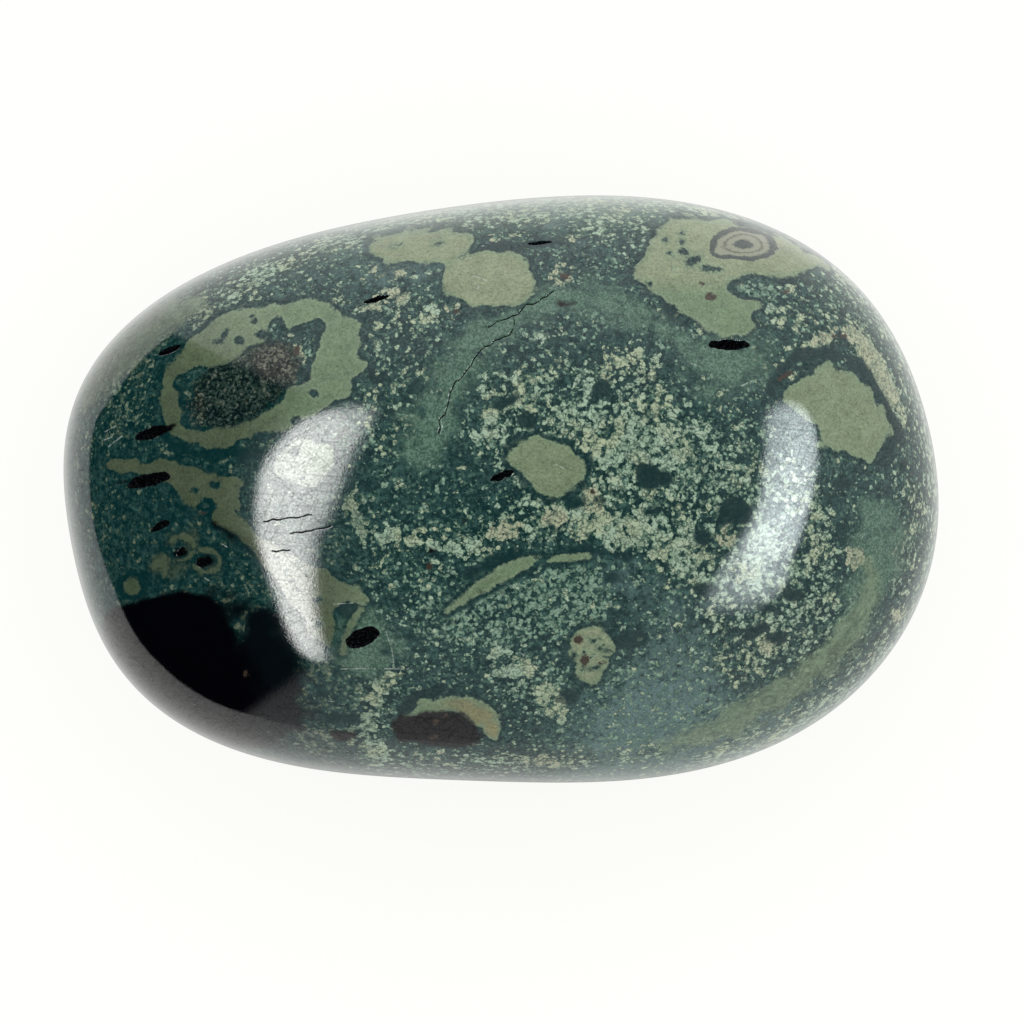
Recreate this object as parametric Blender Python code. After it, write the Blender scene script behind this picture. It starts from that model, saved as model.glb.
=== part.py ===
"""A tumbled and polished pebble of orbicular stone: one solid with open pits and a flat spot to rest on.

Metres, +Z up, +X along the pebble's length. The origin is under the middle of the pebble, on the surface
that it rests on.
"""

import cmath
import math

import bmesh
import bpy
from mathutils import Matrix, Vector

MM = 0.001

LENGTH = 45.0 * MM
WIDTH = 30.2 * MM
THICKNESS = 24.0 * MM  # from the flat spot to the crown
FLAT_SPOT_DEPTH = 0.10 * MM  # what the flat spot takes off the round underside

# The outline departs from an ellipse by a few soft lobes. Each has how often it swells on one way round, its
# share of the radius, and the direction of its swelling in degrees from +X towards +Y.
LOBES = (
    (1, 0.022, -61),
    (2, 0.017, 42),
    (3, 0.017, -57),
    (4, 0.034, -40),
    (5, 0.009, 8),
    (6, 0.006, -8),
)
SHOULDER = 0.045  # how much fuller the section is than an ellipse, half way between crown and side

SEGMENTS = 84  # round the outline
RINGS = 38  # from the crown down to the flat spot

# Open pits: x, y, length, width and depth in millimetres, the turn of the long axis in degrees from +X towards
# +Y, and the side that the pit is on, 1 for the upper and -1 for the under side.
PITS = (
    (-16.97, 7.12, 1.15, 0.40, 0.30, 20, 1),
    (-17.85, 2.88, 1.75, 0.55, 0.40, 17, 1),
    (-18.09, 0.43, 2.10, 0.58, 0.42, 14, 1),
    (-17.46, -1.92, 1.00, 0.34, 0.25, 31, 1),
    (-15.27, -3.75, 0.65, 0.45, 0.25, 10, 1),
    (-16.40, -3.24, 0.50, 0.36, 0.20, 50, 1),
    (-6.39, 9.71, 1.25, 0.26, 0.22, 14, 1),
    (0.05, 0.67, 1.20, 0.36, 0.28, 22, 1),
    (2.00, 12.60, 1.20, 0.26, 0.22, 5, 1),
    (11.67, 7.38, 2.00, 0.50, 0.36, 0, 1),
    (-7.10, -7.61, 1.65, 0.90, 0.32, 25, 1),
    (-12.60, 4.10, 1.70, 0.50, 0.36, -24, -1),
    (-4.20, -6.30, 1.10, 0.40, 0.28, 35, -1),
    (6.90, 5.20, 1.40, 0.46, 0.32, 12, -1),
    (14.30, -3.60, 0.90, 0.34, 0.24, -40, -1),
)
PIT_SEGMENTS = 14
PIT_RINGS = 8

SEARCH_STEPS = 40
NEAR = 1e-4  # a small step over the surface, as a share of the half size, for finding its slope


def clear_scene():
    for obj in list(bpy.data.objects):
        bpy.data.objects.remove(obj, do_unlink=True)


def swell(direction):
    """The radius along a unit direction, against an ellipsoid's."""
    share = 1 + SHOULDER * 4 * direction.z**2 * (1 - direction.z**2)
    for count, amount, degrees in LOBES:
        turned = complex(direction.x, direction.y) * cmath.exp(-1j * math.radians(degrees))
        share += amount * (turned**count).real
    return share


def direction_at(around, down):
    """The unit direction at an angle round the outline and an angle down from the crown."""
    return Vector((math.sin(down) * math.cos(around), math.sin(down) * math.sin(around), math.cos(down)))


def raw_point(direction):
    """A point of the round pebble before it is fitted to its length and width, with half sizes of one."""
    return direction * swell(direction)


def outline_limits():
    """The lowest and highest x and y of the raw pebble, at its widest."""
    steps = 720
    around = [raw_point(direction_at(math.tau * i / steps, math.pi / 2)) for i in range(steps)]
    xs = [point.x for point in around]
    ys = [point.y for point in around]
    return min(xs), max(xs), min(ys), max(ys)


LOW_X, HIGH_X, LOW_Y, HIGH_Y = outline_limits()
SCALE = Vector((LENGTH / (HIGH_X - LOW_X), WIDTH / (HIGH_Y - LOW_Y), (THICKNESS + FLAT_SPOT_DEPTH) / 2))
CENTRE = Vector(
    (
        -SCALE.x * (LOW_X + HIGH_X) / 2,
        -SCALE.y * (LOW_Y + HIGH_Y) / 2,
        SCALE.z - FLAT_SPOT_DEPTH,
    )
)


def surface_point(direction):
    """The point of the pebble's round surface that belongs to a unit direction."""
    raw = raw_point(direction)
    return CENTRE + Vector((SCALE.x * raw.x, SCALE.y * raw.y, SCALE.z * raw.z))


def flat_spot_angle(around):
    """How far down from the crown the surface meets the plane of the flat spot, at this angle round."""
    above, below = math.pi / 2, math.pi
    for _ in range(SEARCH_STEPS):
        middle = (above + below) / 2
        if surface_point(direction_at(around, middle)).z > 0:
            above = middle
        else:
            below = middle
    return above


def direction_over(x, y, side):
    """The unit direction of the surface point over or under a place in the plan."""
    direction = Vector((0, 0, side))
    for _ in range(SEARCH_STEPS):
        size = swell(direction)
        across = (x - CENTRE.x) / (SCALE.x * size)
        along = (y - CENTRE.y) / (SCALE.y * size)
        direction = Vector((across, along, side * math.sqrt(1 - across**2 - along**2)))
    return direction


def slope_at(direction):
    """The surface's outward normal at a unit direction."""
    right = surface_point((direction + Vector((NEAR, 0, 0))).normalized())
    left = surface_point((direction - Vector((NEAR, 0, 0))).normalized())
    back = surface_point((direction + Vector((0, NEAR, 0))).normalized())
    front = surface_point((direction - Vector((0, NEAR, 0))).normalized())
    normal = (right - left).cross(back - front).normalized()
    return normal if normal.dot(direction) > 0 else -normal


def pebble_mesh():
    """Rings of vertices from the crown to the flat spot, which is one flat face at the height of the origin."""
    shape = bmesh.new()
    crown = shape.verts.new(surface_point(Vector((0, 0, 1))))
    angles = [math.tau * i / SEGMENTS for i in range(SEGMENTS)]
    lowest = [flat_spot_angle(around) for around in angles]
    rings = []
    for ring in range(1, RINGS + 1):
        row = []
        for around, last in zip(angles, lowest, strict=True):
            place = surface_point(direction_at(around, last * ring / RINGS))
            if ring == RINGS:
                place.z = 0
            row.append(shape.verts.new(place))
        rings.append(row)
    for i in range(SEGMENTS):
        after = (i + 1) % SEGMENTS
        shape.faces.new((crown, rings[0][i], rings[0][after]))
        for upper, lower in zip(rings, rings[1:], strict=False):
            shape.faces.new((upper[i], lower[i], lower[after], upper[after]))
    shape.faces.new(rings[-1][::-1])
    mesh = bpy.data.meshes.new("stone")
    shape.to_mesh(mesh)
    shape.free()
    return mesh


def pit_matrix(x, y, length, width, depth, degrees, side):
    """Places a unit ball as an elongated hollow that is centred on the surface."""
    direction = direction_over(x * MM, y * MM, side)
    normal = slope_at(direction)
    turn = math.radians(degrees)
    level = Vector((math.cos(turn), math.sin(turn), 0))
    along = level - Vector((0, 0, normal.dot(level) / normal.z))
    half_length = along.length * length * MM / 2
    along.normalize()
    across = normal.cross(along)
    axes = Matrix((along, across, normal)).transposed().to_4x4()
    sizes = Matrix.Diagonal((half_length, width * MM / 2, depth * MM, 1))
    return Matrix.Translation(surface_point(direction)) @ axes @ sizes


def pit_cutter():
    """All the hollows in one hidden object, which the pebble is cut with."""
    shape = bmesh.new()
    for pit in PITS:
        bmesh.ops.create_uvsphere(
            shape, u_segments=PIT_SEGMENTS, v_segments=PIT_RINGS, radius=1, matrix=pit_matrix(*pit)
        )
    bmesh.ops.recalc_face_normals(shape, faces=shape.faces)
    mesh = bpy.data.meshes.new("pit_cutter")
    shape.to_mesh(mesh)
    shape.free()
    cutter = bpy.data.objects.new("pit_cutter", mesh)
    cutter.hide_render = True
    cutter.display_type = "WIRE"
    bpy.context.collection.objects.link(cutter)
    return cutter


def polished_stone():
    material = bpy.data.materials.new("polished_stone")
    material.use_nodes = True
    shader = material.node_tree.nodes["Principled BSDF"]
    shader.inputs["Base Color"].default_value = (0.055, 0.11, 0.09, 1)
    shader.inputs["Roughness"].default_value = 0.12
    shader.inputs["Metallic"].default_value = 0
    return material


def build_stone():
    stone = bpy.data.objects.new("stone", pebble_mesh())
    bpy.context.collection.objects.link(stone)
    stone.data.shade_smooth()
    stone.data.set_sharp_from_angle(angle=math.radians(30))
    stone.data.materials.append(polished_stone())
    pits = stone.modifiers.new("pits", "BOOLEAN")
    pits.operation = "DIFFERENCE"
    pits.object = pit_cutter()


clear_scene()
build_stone()
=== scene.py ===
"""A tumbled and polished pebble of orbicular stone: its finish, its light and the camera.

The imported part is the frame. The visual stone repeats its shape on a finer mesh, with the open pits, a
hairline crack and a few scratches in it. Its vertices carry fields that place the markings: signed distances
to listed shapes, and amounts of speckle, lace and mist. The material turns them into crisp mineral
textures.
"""

import math

import bmesh
import bpy
import numpy as np
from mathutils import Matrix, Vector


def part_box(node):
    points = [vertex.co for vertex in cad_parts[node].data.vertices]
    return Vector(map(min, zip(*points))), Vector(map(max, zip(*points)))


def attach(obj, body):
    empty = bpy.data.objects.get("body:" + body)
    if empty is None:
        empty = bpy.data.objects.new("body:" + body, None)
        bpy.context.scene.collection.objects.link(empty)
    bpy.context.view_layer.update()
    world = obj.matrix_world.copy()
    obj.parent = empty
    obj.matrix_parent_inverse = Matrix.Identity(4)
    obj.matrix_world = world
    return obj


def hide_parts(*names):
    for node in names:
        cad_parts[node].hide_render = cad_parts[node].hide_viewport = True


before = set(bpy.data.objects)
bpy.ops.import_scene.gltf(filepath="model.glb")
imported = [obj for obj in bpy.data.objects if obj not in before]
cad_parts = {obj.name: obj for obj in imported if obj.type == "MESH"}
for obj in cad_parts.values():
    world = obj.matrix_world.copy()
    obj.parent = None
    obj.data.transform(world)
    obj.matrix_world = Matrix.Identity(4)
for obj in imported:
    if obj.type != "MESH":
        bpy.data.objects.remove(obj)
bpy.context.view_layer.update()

MM = 0.001
SEED = 11

# The pebble's shape repeats the part's: lobes round the outline as (count, share of the radius, degrees), and
# a shoulder that makes the section fuller than an ellipse.
LOBES = (
    (1, 0.022, -61),
    (2, 0.017, 42),
    (3, 0.017, -57),
    (4, 0.034, -40),
    (5, 0.009, 8),
    (6, 0.006, -8),
)
SHOULDER = 0.045
FLAT_SPOT_DEPTH = 0.10  # millimetres that the flat spot takes off the round underside

LOW, HIGH = (np.array(corner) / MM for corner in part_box("stone"))
LENGTH, WIDTH, THICKNESS = HIGH - LOW  # millimetres

# Open pits: x, y, length, width and depth in millimetres, the turn of the long axis in degrees from +X
# towards +Y, and the side that the pit is on, 1 for the upper and -1 for the under side.
PITS = (
    (-16.97, 7.12, 1.15, 0.40, 0.30, 20, 1),
    (-17.85, 2.88, 1.75, 0.55, 0.40, 17, 1),
    (-18.09, 0.43, 2.10, 0.58, 0.42, 14, 1),
    (-17.46, -1.92, 1.00, 0.34, 0.25, 31, 1),
    (-15.27, -3.75, 0.65, 0.45, 0.25, 10, 1),
    (-16.40, -3.24, 0.50, 0.36, 0.20, 50, 1),
    (-6.39, 9.71, 1.25, 0.26, 0.22, 14, 1),
    (0.05, 0.67, 1.20, 0.36, 0.28, 22, 1),
    (2.00, 12.60, 1.20, 0.26, 0.22, 5, 1),
    (11.67, 7.38, 2.00, 0.50, 0.36, 0, 1),
    (-7.10, -7.61, 1.65, 0.90, 0.32, 25, 1),
    (-12.60, 4.10, 1.70, 0.50, 0.36, -24, -1),
    (-4.20, -6.30, 1.10, 0.40, 0.28, 35, -1),
    (6.90, 5.20, 1.40, 0.46, 0.32, 12, -1),
    (14.30, -3.60, 0.90, 0.34, 0.24, -40, -1),
)

# Marks are laid out over the photograph, which looks straight down. Places are its pixels, x to the right and
# y down, and so are their sizes.
STONE_PIXELS = 875  # the pebble's length
PIXEL = LENGTH / STONE_PIXELS
STONE_MIDDLE = (501, 489)
PHOTO_SIDE = 1024
CAMERA_HEIGHT = 2.0  # metres over the widest part of the pebble
SENSOR = 36  # millimetres

SEARCH_STEPS = 40
SEEN_STEPS = 4
NEAR = 1e-4  # a small step over the surface, as a share of the half size, for finding its slope


def unit(vectors):
    return vectors / np.linalg.norm(vectors, axis=-1, keepdims=True)


def smooth_step(value, low, high):
    share = np.clip((value - low) / (high - low), 0, 1)
    return share * share * (3 - 2 * share)


def fading(distance, fade=6):
    """A signed distance as a share from 0 outside to 1 inside, which fades across the edge."""
    return smooth_step(distance, -fade, fade)


def swell(directions):
    """The radius along unit directions, against an ellipsoid's."""
    high = directions[:, 2] ** 2
    share = 1 + SHOULDER * 4 * high * (1 - high)
    flat = directions[:, 0] + 1j * directions[:, 1]
    for count, amount, degrees in LOBES:
        share += amount * ((flat * np.exp(-1j * np.radians(degrees))) ** count).real
    return share


def fit():
    """The scale and centre that give the raw pebble its length, width and height, in millimetres."""
    around = np.linspace(0, math.tau, 720, endpoint=False)
    equator = np.stack((np.cos(around), np.sin(around), np.zeros_like(around)), axis=1)
    raw = equator * swell(equator)[:, None]
    low, high = raw.min(axis=0), raw.max(axis=0)
    half_height = (THICKNESS + FLAT_SPOT_DEPTH) / 2
    scale = np.array((LENGTH / (high[0] - low[0]), WIDTH / (high[1] - low[1]), half_height))
    centre = -scale * (low + high) / 2 + (LOW + HIGH) / 2
    centre[2] = LOW[2] + half_height - FLAT_SPOT_DEPTH
    return scale, centre


SCALE, CENTRE = fit()


def round_surface(directions):
    """The points of the round pebble that belong to unit directions."""
    return CENTRE + SCALE * directions * swell(directions)[:, None]


def surface(directions):
    """The same, with the flat spot that the pebble rests on."""
    points = round_surface(directions)
    points[:, 2] = np.maximum(points[:, 2], LOW[2])
    return points


def slopes(directions):
    """Outward unit normals of the round pebble."""
    helper = np.where(np.abs(directions[:, 2:]) < 0.9, (0.0, 0.0, 1.0), (1.0, 0.0, 0.0))
    first = unit(np.cross(directions, helper))
    second = np.cross(directions, first)
    ways = []
    for way in (first, second):
        ahead = round_surface(unit(directions + NEAR * way))
        behind = round_surface(unit(directions - NEAR * way))
        ways.append(ahead - behind)
    return unit(np.cross(ways[0], ways[1]))


def direction_over(x, y, side):
    """The unit direction of the surface point over or under a place in the plan, in millimetres."""
    direction = np.array(((0.0, 0.0, float(side)),))
    for _ in range(SEARCH_STEPS):
        size = swell(direction)[0]
        across = (x - CENTRE[0]) / (SCALE[0] * size)
        along = (y - CENTRE[1]) / (SCALE[1] * size)
        up = math.sqrt(max(0.0, 1 - across**2 - along**2))
        direction = np.array(((across, along, side * up),))
    return direction


def camera_place():
    """Straight over the middle of the picture, in metres."""
    half_side = PHOTO_SIDE / 2
    x = (half_side - STONE_MIDDLE[0]) * PIXEL * MM
    y = (STONE_MIDDLE[1] - half_side) * PIXEL * MM
    return np.array((x, y, CENTRE[2] * MM + CAMERA_HEIGHT))


def to_plan(points):
    """Places in millimetres as the pixels of the photograph that the camera sees them at."""
    camera = camera_place() / MM
    nearness = CAMERA_HEIGHT / MM / (camera[2] - points[:, 2])
    seen = camera[:2] + (points[:, :2] - camera[:2]) * nearness[:, None]
    return np.stack((STONE_MIDDLE[0] + seen[:, 0] / PIXEL, STONE_MIDDLE[1] - seen[:, 1] / PIXEL), axis=1)


def seen_direction(x, y):
    """The unit direction of the upper surface's point that the camera sees at a pixel of the photograph."""
    target = np.array(((x - STONE_MIDDLE[0]) * PIXEL, (STONE_MIDDLE[1] - y) * PIXEL))
    place = target
    for _ in range(SEEN_STEPS):
        direction = direction_over(*place, 1)
        across, down = to_plan(surface(direction))[0]
        seen = np.array(((across - STONE_MIDDLE[0]) * PIXEL, (STONE_MIDDLE[1] - down) * PIXEL))
        place = place + target - seen
    return direction_over(*place, 1)


# Distances inside shapes, in pixels of the photograph: positive inside and negative outside.


def disc(x, y, half_length, half_width=None, degrees=0):
    """An ellipse, whose long axis is turned from the right towards the top."""
    half_width = half_width or half_length

    def inside(plan):
        turn = math.radians(degrees)
        across, up = plan[:, 0] - x, y - plan[:, 1]
        along = across * math.cos(turn) + up * math.sin(turn)
        aside = up * math.cos(turn) - across * math.sin(turn)
        reach = np.hypot(along / half_length, aside / half_width)
        slope = np.hypot(along / half_length**2, aside / half_width**2) / np.maximum(reach, 1e-6)
        return (1 - reach) / np.maximum(slope, 1 / half_length)

    return inside


def discs(*rows):
    """A disc for each row of numbers."""
    return tuple(disc(*row) for row in rows)


def segment_distance(plan, start, end):
    """The distance to a straight line and how far along it the nearest point is, from 0 to 1."""
    run = np.subtract(end, start)
    share = np.clip((plan - start) @ run / max(run @ run, 1e-9), 0, 1)
    return np.linalg.norm(plan - start - share[:, None] * run, axis=1), share


def rounded(points, closed):
    """Cuts the corners off a line twice, so that it bends softly."""
    line = np.array(points, float)
    for _ in range(2):
        after = np.roll(line, -1, axis=0)
        near, far = 0.75 * line + 0.25 * after, 0.25 * line + 0.75 * after
        cut = np.stack((near, far), axis=1)
        cut = cut if closed else cut[:-1]
        bent = cut.reshape(-1, line.shape[1])
        line = bent if closed else np.vstack((line[:1], bent, line[-1:]))
    return line


def patch(*points):
    """A closed outline through the points."""
    line = rounded(points, closed=True)

    def inside(plan):
        nearest = np.full(len(plan), np.inf)
        odd = np.zeros(len(plan), bool)
        for start, end in zip(line, np.roll(line, -1, axis=0), strict=True):
            nearest = np.minimum(nearest, segment_distance(plan, start, end)[0])
            spans = (start[1] > plan[:, 1]) != (end[1] > plan[:, 1])
            rise = end[1] - start[1] or 1e-9
            crossing = start[0] + (plan[:, 1] - start[1]) / rise * (end[0] - start[0])
            odd ^= spans & (plan[:, 0] < crossing)
        return np.where(odd, nearest, -nearest)

    return inside


def stroke(*points):
    """A line through points, each x, y and half the line's width there."""
    line = rounded(points, closed=False)

    def inside(plan):
        best = np.full(len(plan), -np.inf)
        for start, end in zip(line, line[1:], strict=False):
            distance, share = segment_distance(plan, start[:2], end[:2])
            half_width = start[2] + share * (end[2] - start[2])
            best = np.maximum(best, half_width - distance)
        return best

    return inside


def union(shapes, plan):
    return np.maximum.reduce([shape(plan) for shape in shapes])


# The olive and khaki masses.
RING_ORB = patch(
    (260, 308), (284, 302), (318, 299), (330, 304), (338, 316), (357, 319), (363, 328), (358, 352),
    (363, 370), (350, 379), (351, 397), (328, 406), (300, 418), (284, 430), (260, 438), (240, 440),
    (226, 449), (208, 446), (188, 445), (172, 434), (160, 414), (161, 384), (164, 370), (180, 350),
    (200, 329), (232, 311),
)  # fmt: skip
HIGHLIGHT_ORB = disc(306, 463, 30, 24, 20)
RING_CORE = patch(
    (184, 420), (180, 404), (174, 394), (174, 384), (190, 372), (212, 364), (240, 358), (246, 347),
    (264, 342), (268, 322), (276, 316), (288, 322), (285, 332), (292, 330), (308, 319), (325, 322),
    (327, 332), (315, 350), (316, 362), (310, 378), (298, 388), (284, 399), (272, 407), (260, 417),
    (244, 424), (216, 428), (188, 432),
)  # fmt: skip
ORB_A = disc(489, 281, 47, 29)
ORB_B = disc(422, 247, 51, 18, 3)
ORB_C = patch(
    (507, 453), (520, 440), (548, 438), (570, 445), (585, 460), (586, 478), (574, 491), (556, 497),
    (536, 493), (526, 481), (521, 469), (509, 465),
)  # fmt: skip
PATCH_D = patch(
    (650, 246), (655, 232), (664, 222), (680, 216), (700, 219), (720, 222), (750, 226), (790, 240),
    (820, 256), (830, 266), (810, 268), (800, 276), (780, 276), (760, 278), (740, 276), (728, 281),
    (727, 291), (736, 297), (752, 298), (760, 306), (752, 316), (752, 331), (735, 335), (712, 333),
    (700, 325), (684, 320), (676, 308), (664, 302), (668, 291), (650, 297), (638, 287), (632, 270),
    (640, 262), (650, 257),
)  # fmt: skip
ORB_E = patch(
    (774, 402), (792, 388), (806, 376), (820, 366), (834, 363), (848, 373), (864, 383), (875, 400),
    (889, 420), (891, 436), (877, 448), (869, 463), (856, 457), (840, 450), (818, 445), (813, 424),
    (804, 411), (790, 406),
)  # fmt: skip
ORB_F = patch(
    (569, 642), (577, 631), (591, 625), (605, 628), (613, 639), (615, 652), (607, 665), (600, 674),
    (590, 684), (580, 681), (574, 670), (567, 658),
)  # fmt: skip
STRIP = patch(
    (103, 459), (140, 461), (176, 464), (210, 470), (246, 478), (236, 492), (231, 500), (238, 512),
    (252, 530), (286, 552), (316, 562), (340, 583), (370, 595), (366, 604), (342, 600), (334, 612),
    (334, 640), (326, 650), (316, 636), (300, 616), (286, 596), (272, 572), (252, 549), (228, 533),
    (212, 517), (217, 503), (206, 496), (200, 511), (190, 509), (186, 495), (168, 484), (148, 475),
    (108, 471),
)  # fmt: skip
LENS_VEIN = stroke(
    (446, 612, 1.5), (466, 598, 4), (482, 586, 6.5), (505, 573, 7.5), (525, 563, 6), (541, 556, 3),
)  # fmt: skip
THIN_VEIN = stroke((548, 561, 2), (566, 557, 3.5), (590, 556, 2))
CRESCENT = patch(
    (404, 717), (420, 704), (440, 698), (460, 695), (480, 703), (496, 716), (503, 727), (497, 741),
    (488, 736), (477, 726), (467, 717), (456, 711), (440, 712), (424, 716), (410, 719),
)  # fmt: skip
SWEEP = stroke(
    (664, 748, 7), (700, 735, 10), (736, 722, 13), (765, 704, 13), (797, 683, 13), (823, 664, 13),
    (845, 642, 13), (862, 615, 12), (871, 589, 9), (870, 565, 5),
)  # fmt: skip
RIM_KHAKI = patch(
    (78, 404), (82, 384), (104, 350), (130, 322), (160, 300), (200, 292), (212, 300), (186, 320),
    (160, 340), (136, 362), (112, 382), (96, 404), (84, 420),
)  # fmt: skip
SMALL_ORB = disc(132, 586, 7, 9)
LEFT_EYES = discs(
    (163, 562, 9, 7), (180, 567, 10, 5), (190, 546, 4, 8), (212, 568, 10, 4, 10), (170, 543, 7, 5),
)  # fmt: skip
SIDE_VEIN = stroke((361, 609, 2.5), (354, 620, 3.5), (347, 634, 4.5), (343, 651, 4))
LEFT_RINGS = (
    stroke(
        (165, 550, 1.5), (170, 539, 2), (185, 536, 2.2), (195, 543, 2), (192, 556, 2), (178, 562, 2.6),
        (166, 556, 2),
    ),
    stroke((196, 552, 1.5), (208, 549, 2), (221, 555, 2), (219, 568, 2.4), (205, 573, 2.6), (194, 566, 2)),
    stroke((154, 566, 1.5), (160, 561, 1.8), (168, 566, 1.8), (164, 575, 2)),
)  # fmt: skip

OLIVE = (RING_ORB, HIGHLIGHT_ORB, ORB_A, ORB_B, ORB_C, PATCH_D, ORB_E, ORB_F, STRIP, CRESCENT)
THIN_OLIVE = (LENS_VEIN, THIN_VEIN, SIDE_VEIN, SMALL_ORB, *LEFT_RINGS)
FAINT_OLIVE = (SWEEP, RIM_KHAKI, *LEFT_EYES)
DUSK = patch(
    (206, 590), (228, 596), (250, 606), (284, 606), (304, 644), (306, 672), (312, 700), (318, 726),
    (290, 745), (240, 756), (200, 750), (190, 660),
)  # fmt: skip
BITS_IN_BLACK = discs((222, 599, 10, 3.5, -12), (243, 622, 3.5, 10, -20))

# Holes in the masses where the dark ground shows.
GAPS = discs(
    (239, 340, 6, 5), (224, 335, 3, 7, -30), (218, 341, 5, 3), (252, 316, 4, 2), (254, 321, 4, 3),
    (262, 334, 7, 5), (314, 393, 5, 3), (693, 261, 10, 3.5, 24), (708, 268, 9, 3, -8), (718, 270, 5, 3),
    (665, 240, 3, 2), (682, 233, 3, 2), (682, 243, 3, 3), (674, 270, 2), (683, 252, 5, 3), (670, 254, 4, 2),
    (648, 284, 5, 3), (215, 485, 6, 4), (195, 490, 5, 4), (208, 503, 8, 5, -20), (315, 394, 4),
    (181, 552, 8, 5), (294, 452, 7, 5), (322, 438, 12, 6), (302, 478, 4, 2, 30), (276, 362, 4),
    (440, 243, 6, 1.2, 15), (398, 245, 5, 1, 20), (297, 562, 4, 2), (286, 571, 2.5), (291, 581, 4, 2.5),
    (298, 590, 4.5, 2.5, -20), (276, 557, 3, 2), (318, 599, 5, 2.5, 20), (318, 624, 3.5, 3), (306, 577, 2),
    (597, 640, 6, 1.2, 20), (603, 650, 6, 1.3, -15), (594, 668, 7, 1.5, 20), (585, 652, 3, 2.5),
    (590, 640, 5, 1.2, -20), (601, 646, 5, 1.1, 25), (583, 668, 4, 1.3, 60), (606, 657, 4, 1.2, -30),
    (575, 655, 3, 1.4), (592, 656, 5, 1.1, 50),
)  # fmt: skip

# Dark bands and halos that keep the other markings away.
DARK_BANDS = (
    stroke(
        (770, 404, 4), (772, 384, 4), (786, 366, 4), (808, 353, 5), (836, 353, 6), (860, 366, 5),
        (875, 388, 4), (893, 418, 5), (896, 444, 6), (878, 468, 5),
    ),
    stroke((468, 251, 3), (510, 246, 3), (562, 241, 3)),
    stroke((560, 548, 3), (598, 550, 3), (626, 557, 4)),
    stroke((520, 552, 2), (500, 560, 3), (470, 574, 3)),
    stroke((404, 709, 3), (412, 698, 4), (430, 690, 3), (446, 687, 2)),
    stroke((260, 455, 6), (230, 452, 6), (200, 456, 5), (170, 446, 5), (158, 426, 4)),
    *discs(
        (506, 402, 13, 6, 30), (526, 420, 9, 7), (600, 393, 11, 7, 40), (652, 512, 12, 6, 10),
        (735, 511, 17, 15), (702, 539, 10), (769, 608, 11, 5), (754, 633, 14, 5, 30), (773, 639, 9, 5),
        (792, 595, 10, 7), (649, 476, 14, 12), (666, 478, 8, 7), (627, 641, 24, 9, 5), (842, 485, 12, 4, 5),
        (611, 577, 8, 5, 20), (903, 465, 5), (706, 590, 10, 6), (566, 700, 10, 5), (132, 586, 15),
        (342, 718, 11, 4), (352, 719, 8, 7), (600, 500, 7, 4), (576, 504, 9, 5), (740, 300, 9, 5),
        (672, 306, 12, 9, -40), (345, 610, 12, 9),
    ),
)  # fmt: skip

# Soft green zones and soft grey-teal zones.
CRACK_BAND = patch(
    (530, 296), (500, 310), (470, 322), (452, 336), (442, 362), (424, 391), (405, 420), (398, 450),
    (420, 470), (446, 452), (450, 425), (462, 398), (480, 370), (504, 342), (534, 318), (570, 306),
    (600, 316), (640, 326), (672, 340), (664, 316), (630, 296), (590, 284), (556, 286),
)  # fmt: skip
MIST = (
    patch((672, 336), (700, 340), (760, 340), (776, 352), (762, 378), (730, 394), (700, 384), (680, 360)),
    patch(
        (856, 500), (880, 496), (904, 520), (900, 560), (880, 600), (856, 640), (836, 650), (840, 610),
        (862, 560),
    ),
    patch((340, 604), (372, 606), (398, 640), (394, 668), (352, 672), (336, 650)),
    CRACK_BAND,
)  # fmt: skip
TEAL = (
    patch((596, 556), (640, 566), (690, 590), (700, 616), (660, 622), (630, 600), (604, 588)),
    patch((620, 650), (680, 620), (716, 640), (716, 690), (680, 730), (620, 760), (600, 730), (616, 690)),
    *discs(
        (410, 265, 60, 22, 8), (310, 266, 70, 20, 18), (590, 215, 60, 14, 4),
    ),
)  # fmt: skip

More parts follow.
